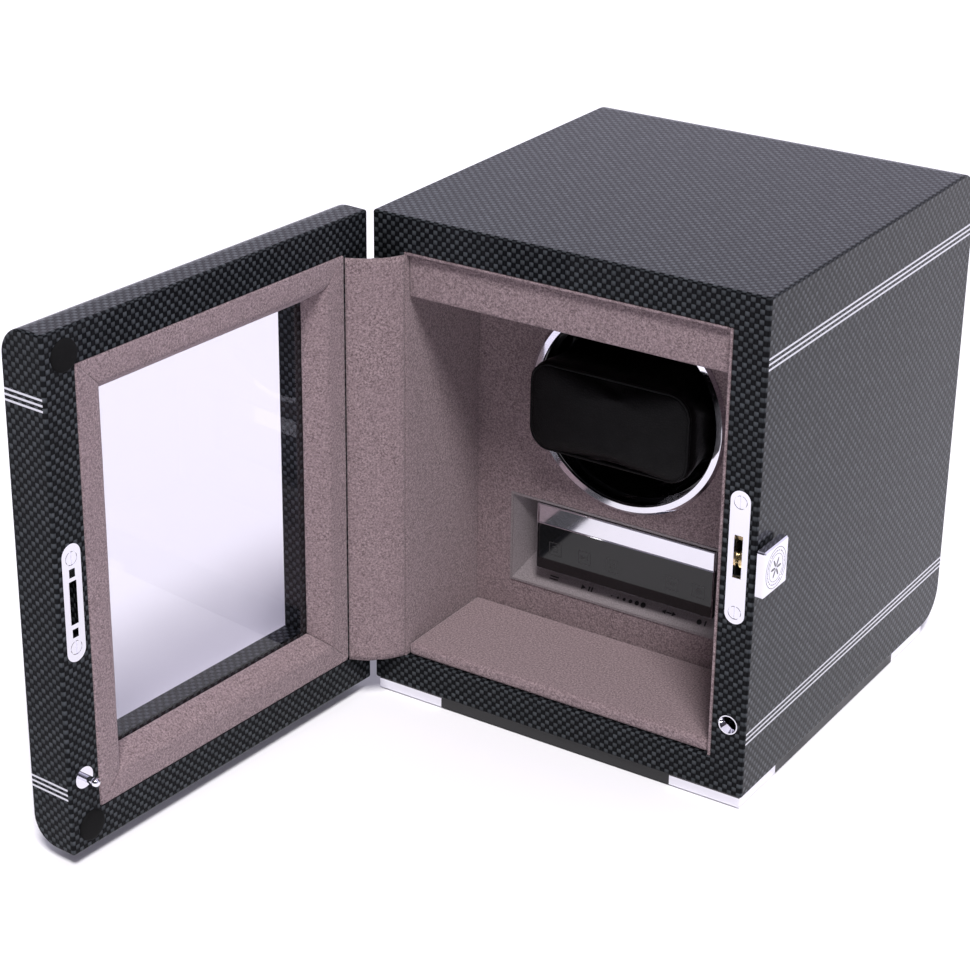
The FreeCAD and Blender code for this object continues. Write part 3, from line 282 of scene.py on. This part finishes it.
def gloss_black():
    """Piano-black moulding with a little waviness in its shine."""
    t = Tree("gloss_black")
    colour = t.mix(t.noise(90.0, 2.0), rgb(0.006, 0.006, 0.007), rgb(0.011, 0.011, 0.013))
    return t.principled(Base_Color=colour,
                        Roughness=t.remap(t.noise(300.0), 0.3, 0.7, 0.06, 0.13),
                        Coat_Weight=0.5, Coat_Roughness=0.03,
                        Normal=t.bump(t.noise(30.0, 1.0), 0.05, 0.0006))


def black_glass():
    """Polished black glass, faintly uneven in its black."""
    t = Tree("black_glass")
    colour = t.mix(t.noise(120.0, 2.0), rgb(0.003, 0.003, 0.0035), rgb(0.006, 0.006, 0.007))
    return t.principled(Base_Color=colour, Roughness=0.03, IOR=1.5)


def clear_glass():
    """Thin flat pane: clear, mirroring faintly at a slant from the face turned to the eye."""
    t = Tree("clear_glass")
    clear = t.node("ShaderNodeBsdfTransparent")
    clear.inputs["Color"].default_value = rgb(0.872, 0.862, 0.897)
    shine = t.node("ShaderNodeBsdfGlossy")
    shine.inputs["Roughness"].default_value = 0.01
    shine.inputs["Color"].default_value = rgb(0.95, 0.95, 0.97)
    slant = t.node("ShaderNodeFresnel")
    slant.inputs["IOR"].default_value = 1.45
    back_face = t.node("ShaderNodeNewGeometry").outputs["Backfacing"]
    front_face = t.math("SUBTRACT", 1.0, back_face)
    both = t.node("ShaderNodeMixShader")
    t.feed(both.inputs[0], t.math("MULTIPLY", slant.outputs[0], front_face))
    t.feed(both.inputs[1], clear.outputs[0])
    t.feed(both.inputs[2], shine.outputs[0])
    t.tree.links.new(both.outputs[0], t.output.inputs["Surface"])
    return t.material


def leather():
    """Soft black leather with a pebbled grain."""
    t = Tree("cushion_leather")
    cells = t.node("ShaderNodeTexVoronoi", feature="DISTANCE_TO_EDGE")
    t.feed(cells.inputs["Vector"], t.coords.outputs["Object"])
    cells.inputs["Scale"].default_value = 850.0
    pebble = t.remap(cells.outputs["Distance"], 0.0, 0.22)
    colour = t.mix(pebble, rgb(0.0010, 0.0010, 0.0012), rgb(0.0034, 0.0032, 0.0036))
    height = t.math("ADD", pebble, t.math("MULTIPLY", t.noise(120.0, 3.0), 1.5))
    return t.principled(Base_Color=colour, Roughness=t.remap(t.noise(200.0), 0.3, 0.7, 0.38, 0.52),
                        Specular_IOR_Level=0.12, Normal=t.bump(height, 0.35, 0.0002))


def tray_finish():
    """Satin taupe coating with a metallic speckle."""
    t = Tree("grey_tray")
    speckle = t.remap(t.noise(2400.0, 2.0, 0.7), 0.35, 0.65)
    colour = t.mix(speckle, rgb(0.175, 0.150, 0.158), rgb(0.300, 0.265, 0.275))
    return t.principled(Base_Color=colour, Roughness=0.48, Metallic=0.15,
                        Normal=t.bump(speckle, 0.15, 0.0001))


def ink(name, level):
    """A printed or engraved mark of one grey level, slightly uneven."""
    t = Tree(name)
    light = rgb(level * 1.4, level * 1.4, level * 1.5)
    colour = t.mix(t.noise(900.0), rgb(level, level, level), light)
    return t.principled(Base_Color=colour, Roughness=0.35)


def make_materials():
    return {
        "carbon_lacquer": carbon_lacquer(),
        "inlay_metal": inlay_metal(),
        # black_base: the underside plinth's near-black is partly its own black and partly painted shadow, where it
        # shows between the feet and in the line above them.
        "black_base": moulded("black_base", (0.006, 0.006, 0.007), (0.012, 0.012, 0.013), 0.35, 0.5),
        "chrome": chrome(),
        "suede": suede(),
        "black_glass": black_glass(),
        "clear_glass": clear_glass(),
        "gloss_black": gloss_black(),
        "grey_tray": tray_finish(),
        "cushion_leather": leather(),
        "steel": metal("steel", (0.45, 0.45, 0.46), (0.62, 0.62, 0.63), 0.22, 0.42),
        "brass": metal("brass", (0.62, 0.45, 0.22), (0.80, 0.62, 0.34), 0.18, 0.34),
        "acetal": moulded("acetal", (0.74, 0.73, 0.69), (0.82, 0.81, 0.78), 0.35, 0.5),
        "circuit_board": moulded("circuit_board", (0.012, 0.09, 0.035), (0.02, 0.14, 0.06),
                                 0.3, 0.45),
        "bumper_rubber": moulded("bumper_rubber", (0.0008, 0.0008, 0.0009),
                                 (0.0026, 0.0026, 0.0028), 0.8, 0.95, 2600.0, 0.0003, 0.2),
        "black_plastic": moulded("black_plastic", (0.012, 0.012, 0.013), (0.022, 0.022, 0.023),
                                 0.45, 0.6),
    }


MATERIALS = make_materials()
LABEL_INK = ink("label_ink", 0.006)
ICON_INK = ink("icon_ink", 0.022)
ENGRAVING = ink("engraving", 0.09)


def dress_frame():
    """Every CAD node gets the finish of its material slot."""
    for name, node in NODES.items():
        node.data.materials.clear()
        node.data.materials.append(MATERIALS[SLOT_OF[name]])


# ---- mesh helpers -------------------------------------------------------------------------------
def add_piece(name, mesh, body, material, stands_for=(), sharp_deg=40.0):
    """Puts a finished mesh in the scene as a piece that rides on a body."""
    piece = bpy.data.objects.new(name, mesh)
    bpy.context.scene.collection.objects.link(piece)
    mesh.materials.append(material)
    for polygon in mesh.polygons:
        polygon.use_smooth = True
    mesh.set_sharp_from_angle(angle=math.radians(sharp_deg))
    if stands_for:
        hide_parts(*stands_for)
    if body:
        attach(piece, body)
    return piece


def mesh_from(name, points, faces):
    mesh = bpy.data.meshes.new(name)
    mesh.from_pydata([tuple(p) for p in points], [], faces)
    mesh.validate()
    return outward(mesh)


def outward(mesh):
    """Merges doubled points and turns all faces outwards."""
    bm = bmesh.new()
    bm.from_mesh(mesh)
    bmesh.ops.remove_doubles(bm, verts=bm.verts, dist=1e-6)
    bmesh.ops.recalc_face_normals(bm, faces=bm.faces)
    bm.to_mesh(mesh)
    bm.free()
    return mesh


def tube_faces(rings, around, closed_ends=True):
    """Faces that join rings of points into a skin."""
    faces = []
    for r in range(rings - 1):
        for i in range(around):
            j = (i + 1) % around
            faces.append((r * around + i, r * around + j, (r + 1) * around + j, (r + 1) * around + i))
    if closed_ends:
        faces.append(tuple(range(around)))
        faces.append(tuple((rings - 1) * around + i for i in reversed(range(around))))
    return faces


def soft_slab(name, lo, hi, radius, wave=0.00012, cell=0.005):
    """A covered board: a box with rolled edges whose faces have the slight waves of cloth on card."""
    bm = bmesh.new()
    size = hi - lo
    counts = [max(2, round(size[i] / cell)) for i in range(3)]
    for axis in range(3):
        u, v = [i for i in range(3) if i != axis]
        for end in (0.0, 1.0):
            grid = []
            for a in range(counts[u] + 1):
                row = []
                for b in range(counts[v] + 1):
                    p = Vector((0.0, 0.0, 0.0))
                    p[axis] = end
                    p[u] = a / counts[u]
                    p[v] = b / counts[v]
                    row.append(bm.verts.new([lo[i] + size[i] * p[i] for i in range(3)]))
                grid.append(row)
            for a in range(counts[u]):
                for b in range(counts[v]):
                    bm.faces.new((grid[a][b], grid[a + 1][b], grid[a + 1][b + 1], grid[a][b + 1]))
    bmesh.ops.remove_doubles(bm, verts=bm.verts, dist=1e-6)
    bmesh.ops.recalc_face_normals(bm, faces=bm.faces)
    corners = [e for e in bm.edges if len(e.link_faces) == 2 and e.calc_face_angle(0) > 1.0]
    bmesh.ops.bevel(bm, geom=corners, offset=radius, segments=4, profile=0.5, affect="EDGES")
    bm.normal_update()
    for v in bm.verts:
        v.co -= v.normal * wave * (0.5 + 0.5 * noise.noise(v.co * 90.0))
    mesh = bpy.data.meshes.new(name)
    bm.to_mesh(mesh)
    bm.free()
    return mesh


# ---- suede lining -------------------------------------------------------------------------------
def halves(node, axis):
    """The two boxes of a node whose two solids stand apart along an axis."""
    points = [v.co.copy() for v in NODES[node].data.vertices]
    middle = sum(p[axis] for p in points) / len(points)
    boxes = []
    for keep in (lambda p: p[axis] < middle, lambda p: p[axis] >= middle):
        part = [p for p in points if keep(p)]
        boxes.append((Vector([min(p[i] for p in part) for i in range(3)]),
                      Vector([max(p[i] for p in part) for i in range(3)])))
    return boxes


def make_lining():
    """Suede-covered boards: two sides, the roof, the fascia under it and the floor pad."""
    for name, (lo, hi) in zip(("liner_panel_left", "liner_panel_right"), halves("side_liners", 0)):
        add_piece(name, soft_slab(name, lo, hi, 0.5 * MM), "cabinet", MATERIALS["suede"],
                  ("side_liners",))
    for node, radius in (("liner_top", 0.5), ("top_fascia", 1.0), ("floor_pad", 2.0)):
        lo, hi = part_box(node)
        piece = add_piece(node + "_suede", soft_slab(node + "_suede", lo, hi, radius * MM), "cabinet",
                          MATERIALS["suede"], (node,))


RAIL_EDGE = 0.15
RAIL_FOOT = 0.2
ROUND_STEPS = 5


def rail_profile():
    """Closed section of a rail as (inset from the rail's outer edge, height over the door face)."""
    width = WINDOW_INSET - RIM
    outline = [((RAIL_EDGE, -RAIL_DEPTH), 0.0), ((RAIL_EDGE, RAIL_PROUD), 1.1),
               ((RAIL_FLAT, RAIL_PROUD), 1.8), ((width - RAIL_FOOT, -RAIL_DEPTH + 1.2), 0.8),
               ((width - RAIL_FOOT, -RAIL_DEPTH), 0.0)]
    points = []
    for i, (corner, radius) in enumerate(outline):
        c = Vector(corner)
        if radius == 0.0:
            points.append(c)
            continue
        before = (Vector(outline[i - 1][0]) - c).normalized()
        after = (Vector(outline[i + 1][0]) - c).normalized()
        start, end = c + before * radius, c + after * radius
        for k in range(ROUND_STEPS + 1):
            s = k / ROUND_STEPS
            points.append(start * (1 - s) ** 2 + c * 2 * s * (1 - s) + end * s ** 2)
    return points


SEAM_DEPTH = 0.45
SEAM_REACH = 0.9
RAIL_STEP = 4.0
RAIL_SWELL = 0.12


def make_rail(name, first, last, inward, node):
    """A suede rail between two mitred corners; first, last and inward are (x, z) on the closed door."""
    run = Vector((last[0] - first[0], last[1] - first[1]))
    length = run.length
    run.normalize()
    profile = rail_profile()
    ends = [0.0, 0.3, 0.6, SEAM_REACH]
    count = int(length / RAIL_STEP)
    middle = [SEAM_REACH + (length - 2 * SEAM_REACH) * k / count for k in range(1, count)]
    stations = ends + middle + [length - s for s in reversed(ends)]
    centre = Vector((sum(p.x for p in profile), sum(p.y for p in profile))) / len(profile)
    points = []
    for s in stations:
        pinch = SEAM_DEPTH * max(0.0, 1.0 - min(s, length - s) / SEAM_REACH) ** 2
        for p in profile:
            q = p + (centre - p).normalized() * pinch
            along = q.x + s / length * (length - 2 * q.x)
            x = first[0] + run.x * along + inward[0] * q.x
            z = first[1] + run.y * along + inward[1] * q.x
            swell = RAIL_SWELL * noise.noise(Vector((x, z, q.x)) * 0.06)
            points.append(on_door(x, -DOOR_GAP + q.y - swell, z))
    mesh = mesh_from(name, points, tube_faces(len(stations), len(profile)))
    return add_piece(name, mesh, "door", MATERIALS["suede"], (node,), 55.0)


def make_rails():
    """Four rails round the window, mitred at the corners."""
    x0, x1, z0, z1 = RIM, WIDTH - RIM, RIM, HEIGHT - RIM
    make_rail("rail_top", (x0, z1), (x1, z1), (0, -1), "short_rails")
    make_rail("rail_bottom", (x0, z0), (x1, z0), (0, 1), "short_rails")
    make_rail("rail_hinge_side", (x0, z0), (x0, z1), (1, 0), "long_rails")
    make_rail("rail_lock_side", (x1, z0), (x1, z1), (-1, 0), "long_rails")


def make_bumpers():
    """Black rubber discs with a soft crown, one at each free corner of the door."""
    outline = [(0.0, 1.35), (2.5, 1.32), (4.4, 1.22), (5.7, 1.0), (6.4, 0.6), (6.6, 0.2),
               (6.6, 0.0), (0.0, 0.0)]
    around = 40
    inset = 10.6
    low_drop = 0.8
    for name, z in (("bumper_low", inset - low_drop), ("bumper_high", HEIGHT - inset)):
        points = []
        for r, y in outline:
            for i in range(around):
                a = 2 * math.pi * i / around
                x = WIDTH - inset + r * math.cos(a)
                points.append(on_door(x, -DOOR_GAP + y, z + r * math.sin(a)))
        mesh = mesh_from(name, points, tube_faces(len(outline), around, False))
        add_piece(name, mesh, "door", MATERIALS["bumper_rubber"],
                  ("door_bumpers",))


# ---- gusset -------------------------------------------------------------------------------------
GUSSET_BULGE = 2.6
GUSSET_T = 0.8
CREASE = 0.7
CREASE_SPREAD = 0.06
WAVE = 0.5


def make_gusset():
    """One strip of suede from the left liner to the door, with a soft crease down its middle."""
    lo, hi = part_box("hinge_gusset")
    start = at(RIM + 0.7, -0.4, 0)
    end = on_door(RIM + 0.5, -DOOR_GAP + 0.9, 0)
    chord = end - start
    out = Vector((-chord.y, chord.x, 0)).normalized()
    columns, rows = 24, 74
    points = []
    for r in range(rows + 1):
        z = lo.z + (hi.z - lo.z) * r / rows
        for c in range(columns + 1):
            s = c / columns
            bulge = GUSSET_BULGE * 4 * s * (1 - s)
            crease = CREASE * math.exp(-((s - 0.5) / CREASE_SPREAD) ** 2)
            ripple = noise.noise(Vector((s * 1.5, 3.0, z * 24.0)))
            wave = WAVE * math.sin(math.pi * s) * ripple
            depth = (bulge - crease + wave + GUSSET_T / 2) * MM
            points.append(start + chord * s + out * depth + Vector((0, 0, z - start.z)))
    faces = []
    for r in range(rows):
        for c in range(columns):
            i = r * (columns + 1) + c
            faces.append((i, i + 1, i + columns + 2, i + columns + 1))
    mesh = mesh_from("gusset_suede", points, faces)
    piece = add_piece("gusset_suede", mesh, None, MATERIALS["suede"], ("hinge_gusset",), 80.0)
    solid = piece.modifiers.new("thickness", "SOLIDIFY")
    solid.thickness = GUSSET_T * 0.8 * MM
    solid.offset = 0.0
    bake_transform(piece)


# ---- cushion ------------------------------------------------------------------------------------
CUSHION_CORNER = 11.0
CUSHION_ROLL = 3.0
CUSHION_CROWN = 2.2
CUSHION_START_INSET = 0.7
CUSHION_SWELL = 1.9
CUSHION_PRESSURE = 4.0
CLOTH_FRAMES = 20
PIPING_R = 0.75
PIPING_BACK = 4.2
SEAM_WIDTH = 0.9
CREASE_DEPTH = 0.7
DENT_DEPTH = 0.4
CORE_RADIUS = 12


def rounded_outline(half_x, half_z, corner, n=36):
    """Points round a rectangle with round corners, n to a corner."""
    points = []
    for k, (sx, sz) in enumerate(((1, 1), (-1, 1), (-1, -1), (1, -1))):
        for i in range(n):
            a = math.pi / 2 * (k + i / n)
            points.append((sx * (half_x - corner) + corner * math.cos(a),
                           sz * (half_z - corner) + corner * math.sin(a)))
    return points


def pillow_mesh(name, centre, half):
    """A boxy pillow whose front and back are crowned and whose side band pulls in a little."""
    front = [(CUSHION_ROLL, -half.y + CUSHION_CROWN * (k / 10) ** 2, k / 10) for k in range(1, 11)]
    for k in range(1, 7):
        a = math.pi / 2 * k / 6
        front.append((CUSHION_ROLL * (1 - math.sin(a)),
                      -half.y + CUSHION_CROWN + CUSHION_ROLL * (1 - math.cos(a)), 1.0))
    reach = half.y - CUSHION_CROWN - CUSHION_ROLL
    band = [(0.9 * (1 - (k / 4) ** 2), reach * k / 4, 1.0) for k in range(-3, 4)]
    rings = front + band + [(inset, -y, scale) for inset, y, scale in reversed(front)]
    points = []
    for inset, y, scale in rings:
        outline = rounded_outline(half.x - inset, half.z - inset, CUSHION_CORNER - inset)
        points += [centre + Vector((x * scale, y, z * scale)) * MM for x, z in outline]
    return mesh_from(name, points, tube_faces(len(rings), len(points) // len(rings)))


def evaluated_copy(piece):
    """The mesh of a piece as its modifiers leave it."""
    depsgraph = bpy.context.evaluated_depsgraph_get()
    return bpy.data.meshes.new_from_object(piece.evaluated_get(depsgraph))


def inflate(mesh, pressure, swell, lo, hi):
    """Blows a closed mesh up as cloth and caps how far each point may move, inside a box."""
    work = bpy.data.objects.new("inflating", mesh)
    bpy.context.scene.collection.objects.link(work)
    remesh = work.modifiers.new("even_mesh", "REMESH")
    remesh.mode = "VOXEL"
    remesh.voxel_size = 2.2 * MM
    even = evaluated_copy(work)
    work.modifiers.clear()
    work.data = even
    cloth = work.modifiers.new("cloth", "CLOTH")
    cloth.settings.quality = 6
    cloth.settings.mass = 0.15
    cloth.settings.tension_stiffness = 12.0
    cloth.settings.compression_stiffness = 12.0
    cloth.settings.bending_stiffness = 0.4
    cloth.settings.use_pressure = True
    cloth.settings.uniform_pressure_force = pressure
    cloth.settings.effector_weights.gravity = 0.0
    for step in range(1, CLOTH_FRAMES + 1):
        bpy.context.scene.frame_set(step)
    blown = evaluated_copy(work)
    bpy.context.scene.frame_set(1)
    for before, after in zip(even.vertices, blown.vertices):
        move = after.co - before.co
        if move.length > swell:
            move *= swell / move.length
        before.co = Vector([min(max(c, a), b) for c, a, b in zip(before.co + move, lo, hi)])
    bpy.data.objects.remove(work)
    return even


def make_cushion():
    """The leather cushion that a watch is strapped round, blown up as cloth, then piped and dented."""
    lo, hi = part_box("watch_cushion")
    centre, half = (lo + hi) / 2, (hi - lo) / 2 / MM
    mesh = pillow_mesh("cushion_pillow", centre, half - Vector((1, 1, 1)) * CUSHION_START_INSET)
    mesh = inflate(mesh, CUSHION_PRESSURE, CUSHION_SWELL * MM, lo, hi)
    mesh.name = "cushion_pillow"
    seam_y = half.y - PIPING_BACK
    for v in mesh.vertices:
        local = (v.co - centre) / MM
        radial = Vector((local.x, 0, local.z))
        seam = math.exp(-((abs(local.y) - seam_y) / SEAM_WIDTH) ** 2)
        dent = 0.35 + 0.5 * noise.noise(local * 0.07)
        if radial.length > CORE_RADIUS:
            v.co -= radial.normalized() * (CREASE_DEPTH * seam + DENT_DEPTH * dent) * MM
    pillow = add_piece("cushion_pillow", mesh, "cushion", MATERIALS["cushion_leather"],
                       ("watch_cushion",), 75.0)
    pillow.modifiers.new("smooth", "SUBSURF").levels = 1
    corners = [v.co for v in mesh.vertices]
    skin = BVHTree.FromPolygons(corners, [tuple(f.vertices) for f in mesh.polygons])
    for name, y in (("piping_front", -seam_y), ("piping_back", seam_y)):
        make_piping(name, skin, centre, half, y)


PIPING_SIDES = 8
PIPING_SINK = 0.3


def make_piping(name, skin, centre, half, y):
    """A corded edge sewn along the seam, laid on the pillow's skin all the way round."""
    line = []
    middle = centre + Vector((0, y, 0)) * MM
    for x, z in rounded_outline(half.x, half.z, CUSHION_CORNER, 24):
        spot = skin.ray_cast(middle, Vector((x, 0, z)).normalized())[0]
        line.append((spot - centre) / MM)
    points = []
    for i, spot in enumerate(line):
        ahead, behind = line[(i + 1) % len(line)], line[i - 1]
        run = Vector((ahead.x - behind.x, 0, ahead.z - behind.z)).normalized()
        out = Vector((run.z, 0, -run.x))
        for k in range(PIPING_SIDES):
            a = 2 * math.pi * k / PIPING_SIDES
            rim = out * (math.cos(a) - PIPING_SINK) + Vector((0, 1, 0)) * math.sin(a)
            points.append(centre + (spot + rim * PIPING_R) * MM)
    faces = tube_faces(len(line), PIPING_SIDES, False)
    last = (len(line) - 1) * PIPING_SIDES
    for k in range(PIPING_SIDES):
        after = (k + 1) % PIPING_SIDES
        faces.append((last + k, last + after, after, k))
    add_piece(name, mesh_from(name, points, faces), "cushion", MATERIALS["cushion_leather"],
              (), 80.0)


# ---- printed and engraved marks -----------------------------------------------------------------
def plate_mesh(name, outlines, place, thickness):
    """Thin raised marks: outlines are lists of (u, v) in millimetres that place puts in space."""
    points, faces = [], []
    for outline in outlines:
        base = len(points)
        n = len(outline)
        points += [place(u, v, 0.0) for u, v in outline]
        points += [place(u, v, thickness) for u, v in outline]
        faces.append(tuple(base + i for i in range(n)))
        faces.append(tuple(base + n + i for i in range(n)))
        for i in range(n):
            after = (i + 1) % n
            faces.append((base + i, base + after, base + n + after, base + n + i))
    return mesh_from(name, points, faces)


def bar(u, v, w, h):
    return [(u - w / 2, v - h / 2), (u + w / 2, v - h / 2),
            (u + w / 2, v + h / 2), (u - w / 2, v + h / 2)]


def disc(u, v, r, n=20):
    angles = [2 * math.pi * i / n for i in range(n)]
    return [(u + r * math.cos(a), v + r * math.sin(a)) for a in angles]


def frame_marks(u, v, side, line):
    h = side / 2
    return [bar(u, v - h, side + line, line), bar(u, v + h, side + line, line),
            bar(u - h, v, line, side - line), bar(u + h, v, line, side - line)]


def arrow(u, v, size, way):
    base = u - way * size / 2
    return [(base, v - size / 2), (u + way * size / 2, v), (base, v + size / 2)]


TOUCH_FIELDS = (10.0, 25.0, 39.0, 69.0, 82.0)
FIELD_SIDE = 6.0
FIELD_LINE = 0.35
SLOPE_FOOT_Y = 57.0
SLOPE_FOOT_Z = 36.5
SLOPE_RISE = 12.0
SLOPE_RUN = 10.0
SIGN_HEIGHT = 4.6
MARK_HEIGHT = 0.03
SIGN_RELIEF = 0.05


def make_panel_marks():
    """Plain pictograms: touch fields behind the black glass and small signs on the slope under it."""
    glass_lo, glass_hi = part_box("display_glass")
    mid_z = (glass_lo.z + glass_hi.z) / 2
    marks = []
    for u in TOUCH_FIELDS:
        marks += frame_marks(u, 0, FIELD_SIDE, FIELD_LINE)
    marks += [bar(10, v, 3, .4) for v in (1.2, 0, -1.2)]
    marks += [arrow(24.2, 0, 2.6, 1), bar(26.4, 0, 0.5, 2.6)]
    marks += [bar(38.2, -.6, 0.6, 1.4), bar(39.2, -.2, 0.6, 2.2), bar(40.2, .2, 0.6, 3.0)]
    marks += [arrow(67.8, 0, 1.8, -1), arrow(70.2, 0, 1.8, 1), disc(82, 0, 1.6)]

    def on_glass(u, v, h):
        return Vector((glass_lo.x + u * MM, glass_lo.y - h * MM, mid_z + v * MM))

    mesh = plate_mesh("touch_icons", marks, on_glass, MARK_HEIGHT)
    add_piece("touch_icons", mesh, "cabinet", ICON_INK)

    foot = at(0, SLOPE_FOOT_Y, SLOPE_FOOT_Z)
    slope = Vector((0, SLOPE_RUN, SLOPE_RISE)).normalized()
    lift = Vector((0, -SLOPE_RISE, SLOPE_RUN)).normalized()

    def on_slope(u, v, h):
        base = Vector((SHELL_LO.x + u * MM, foot.y, foot.z))
        return base + (slope * (SIGN_HEIGHT + v) + lift * h) * MM

    signs = [bar(56, .8, 4.4, .6), bar(56, -.4, 4.4, .6)]
    signs += [arrow(71.6, 0, 2.2, 1), bar(74.4, 0, .7, 2.2), bar(75.8, 0, .7, 2.2)]
    signs += [disc(86 + 3.2 * i, 0, .35 + .18 * i) for i in range(6)]
    signs += [arrow(112.4, 0, 2.0, -1), bar(115, 0, 2.6, .6), arrow(117.6, 0, 2.0, 1)]
    signs += [disc(130, 0, 1.2), bar(133, 0, .7, 2.4)]
    mesh = plate_mesh("control_labels", signs, on_slope, SIGN_RELIEF)
    add_piece("control_labels", mesh, "cabinet", LABEL_INK)


RING_STEPS = 60
DOT_COUNT = 24
DOT_CIRCLE = 7.3
DOT_R = 0.26
PETALS = 6
PETAL_POINTS = 16
PETAL_MIDDLE, PETAL_LENGTH, PETAL_WIDTH = 2.5, 2.0, 0.55


def make_key_rosette():
    """Engraved rings and a plain six-petal flower on the key's face."""
    lo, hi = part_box("key_bow")
    face_x = hi.x
    cy, cz = (lo.y + hi.y) / 2, (lo.z + hi.z) / 2

    def on_face(u, v, h):
        return Vector((face_x + h * MM, cy + u * MM, cz + v * MM))

    marks = []
    for radius, width in ((8.7, 0.13), (5.9, 0.10)):
        for i in range(RING_STEPS):
            a, b = 2 * math.pi * i / RING_STEPS, 2 * math.pi * (i + 1) / RING_STEPS
            marks.append([((radius + s * width) * math.cos(t), (radius + s * width) * math.sin(t))
                          for s, t in ((-1, a), (1, a), (1, b), (-1, b))])
    for k in range(DOT_COUNT):
        a = 2 * math.pi * k / DOT_COUNT
        marks.append(disc(DOT_CIRCLE * math.cos(a), DOT_CIRCLE * math.sin(a), DOT_R, 8))
    for k in range(PETALS):
        a = 2 * math.pi * k / PETALS
        petal = []
        for i in range(PETAL_POINTS):
            t = 2 * math.pi * i / PETAL_POINTS
            u, v = PETAL_MIDDLE + PETAL_LENGTH * math.cos(t), PETAL_WIDTH * math.sin(t)
            petal.append((u * math.cos(a) - v * math.sin(a), u * math.sin(a) + v * math.cos(a)))
        marks.append(petal)
    mesh = plate_mesh("key_rosette", marks, on_face, MARK_HEIGHT)
    add_piece("key_rosette", mesh, "key", ENGRAVING)


def bright_glass_edges():
    """The polished chamfer round the black glass takes the chrome finish, as it catches light."""
    mesh = NODES["display_glass"].data
    mesh.materials.append(MATERIALS["chrome"])
    for polygon in mesh.polygons:
        if 0.3 < abs(polygon.normal.y) < 0.95:
            polygon.material_index = 1


# ---- stage --------------------------------------------------------------------------------------
CAMERA_AZIMUTH = 32.70
CAMERA_ELEVATION = 23.57
CAMERA_ROLL = 0.73
CAMERA_DISTANCE = 1101.7
CAMERA_TARGET = (18.1, 60.0, 103.4)
FOCAL_LENGTH = 91.42
SHIFT_Y = -0.0572
SENSOR_WIDTH = 36.0
FLOOR_HALF = 12.0
FLOOR_DROP = 0.0002
SKY_FRONT = 0.08
SKY_BACK = 1.15
SKY_BAND = 0.6
KEY_STRENGTH = 3.4
KEY_SPREAD = 16.0
KEY_FROM = (0.33, -0.42, 0.85)


def make_camera():
    """The camera at the pictured view of the open box."""
    data = bpy.data.cameras.new("camera")
    camera = bpy.data.objects.new("camera", data)
    bpy.context.scene.collection.objects.link(camera)
    a, e = math.radians(CAMERA_AZIMUTH), math.radians(CAMERA_ELEVATION)
    back = Vector((math.sin(a) * math.cos(e), -math.cos(a) * math.cos(e), math.sin(e)))
    camera.rotation_mode = "QUATERNION"
    level = (-back).to_track_quat("-Z", "Y")
    roll = Matrix.Rotation(math.radians(CAMERA_ROLL), 3, "Z").to_quaternion()
    camera.rotation_quaternion = level @ roll
    camera.location = at(*CAMERA_TARGET) + back * CAMERA_DISTANCE * MM
    data.sensor_width = SENSOR_WIDTH
    data.lens = FOCAL_LENGTH
    data.shift_y = SHIFT_Y
    data.clip_start, data.clip_end = 0.01, 50.0
    bpy.context.scene.camera = camera


def make_floor():
    side = FLOOR_HALF
    corners = [(-side, -side, 0), (side, -side, 0), (side, side, 0), (-side, side, 0)]
    mesh = mesh_from("floor", corners, [(0, 1, 2, 3)])
    floor = bpy.data.objects.new("floor", mesh)
    bpy.context.scene.collection.objects.link(floor)
    t = Tree("floor")
    colour = t.mix(t.noise(3.0, 2.0), rgb(0.90, 0.895, 0.91), rgb(0.92, 0.915, 0.93))
    mesh.materials.append(t.principled(Base_Color=colour, Roughness=0.7, Specular_IOR_Level=0.1))
    floor.location.z = -FLOOR_DROP


def make_lights():
    """A sky that brightens towards the back, and one steep key light from the right front."""
    world = bpy.data.worlds.new("sky")
    world.use_nodes = True
    tree = world.node_tree
    sky = tree.nodes["Background"]
    sky.inputs["Color"].default_value = rgb(0.86, 0.83, 1.0)
    place = tree.nodes.new("ShaderNodeTexCoord")
    parts = tree.nodes.new("ShaderNodeSeparateXYZ")
    level = tree.nodes.new("ShaderNodeMapRange")
    for socket, setting in zip(level.inputs[1:], (-SKY_BAND, SKY_BAND, SKY_FRONT, SKY_BACK)):
        socket.default_value = setting
    tree.links.new(place.outputs["Generated"], parts.inputs[0])
    tree.links.new(parts.outputs["Y"], level.inputs["Value"])
    tree.links.new(level.outputs["Result"], sky.inputs["Strength"])
    bpy.context.scene.world = world
    data = bpy.data.lights.new("softbox", "SUN")
    data.energy = KEY_STRENGTH
    data.angle = math.radians(KEY_SPREAD)
    data.color = (1.0, 0.98, 0.99)
    light = bpy.data.objects.new("softbox", data)
    light.rotation_mode = "QUATERNION"
    light.rotation_quaternion = Vector(KEY_FROM).to_track_quat("Z", "Y")
    bpy.context.scene.collection.objects.link(light)


def main():
    bpy.context.scene.view_settings.view_transform = "Standard"
    dress_frame()
    bright_glass_edges()
    make_lining()
    make_rails()
    make_bumpers()
    make_gusset()
    make_cushion()
    make_panel_marks()
    make_key_rosette()
    make_floor()
    make_lights()
    make_camera()


main()
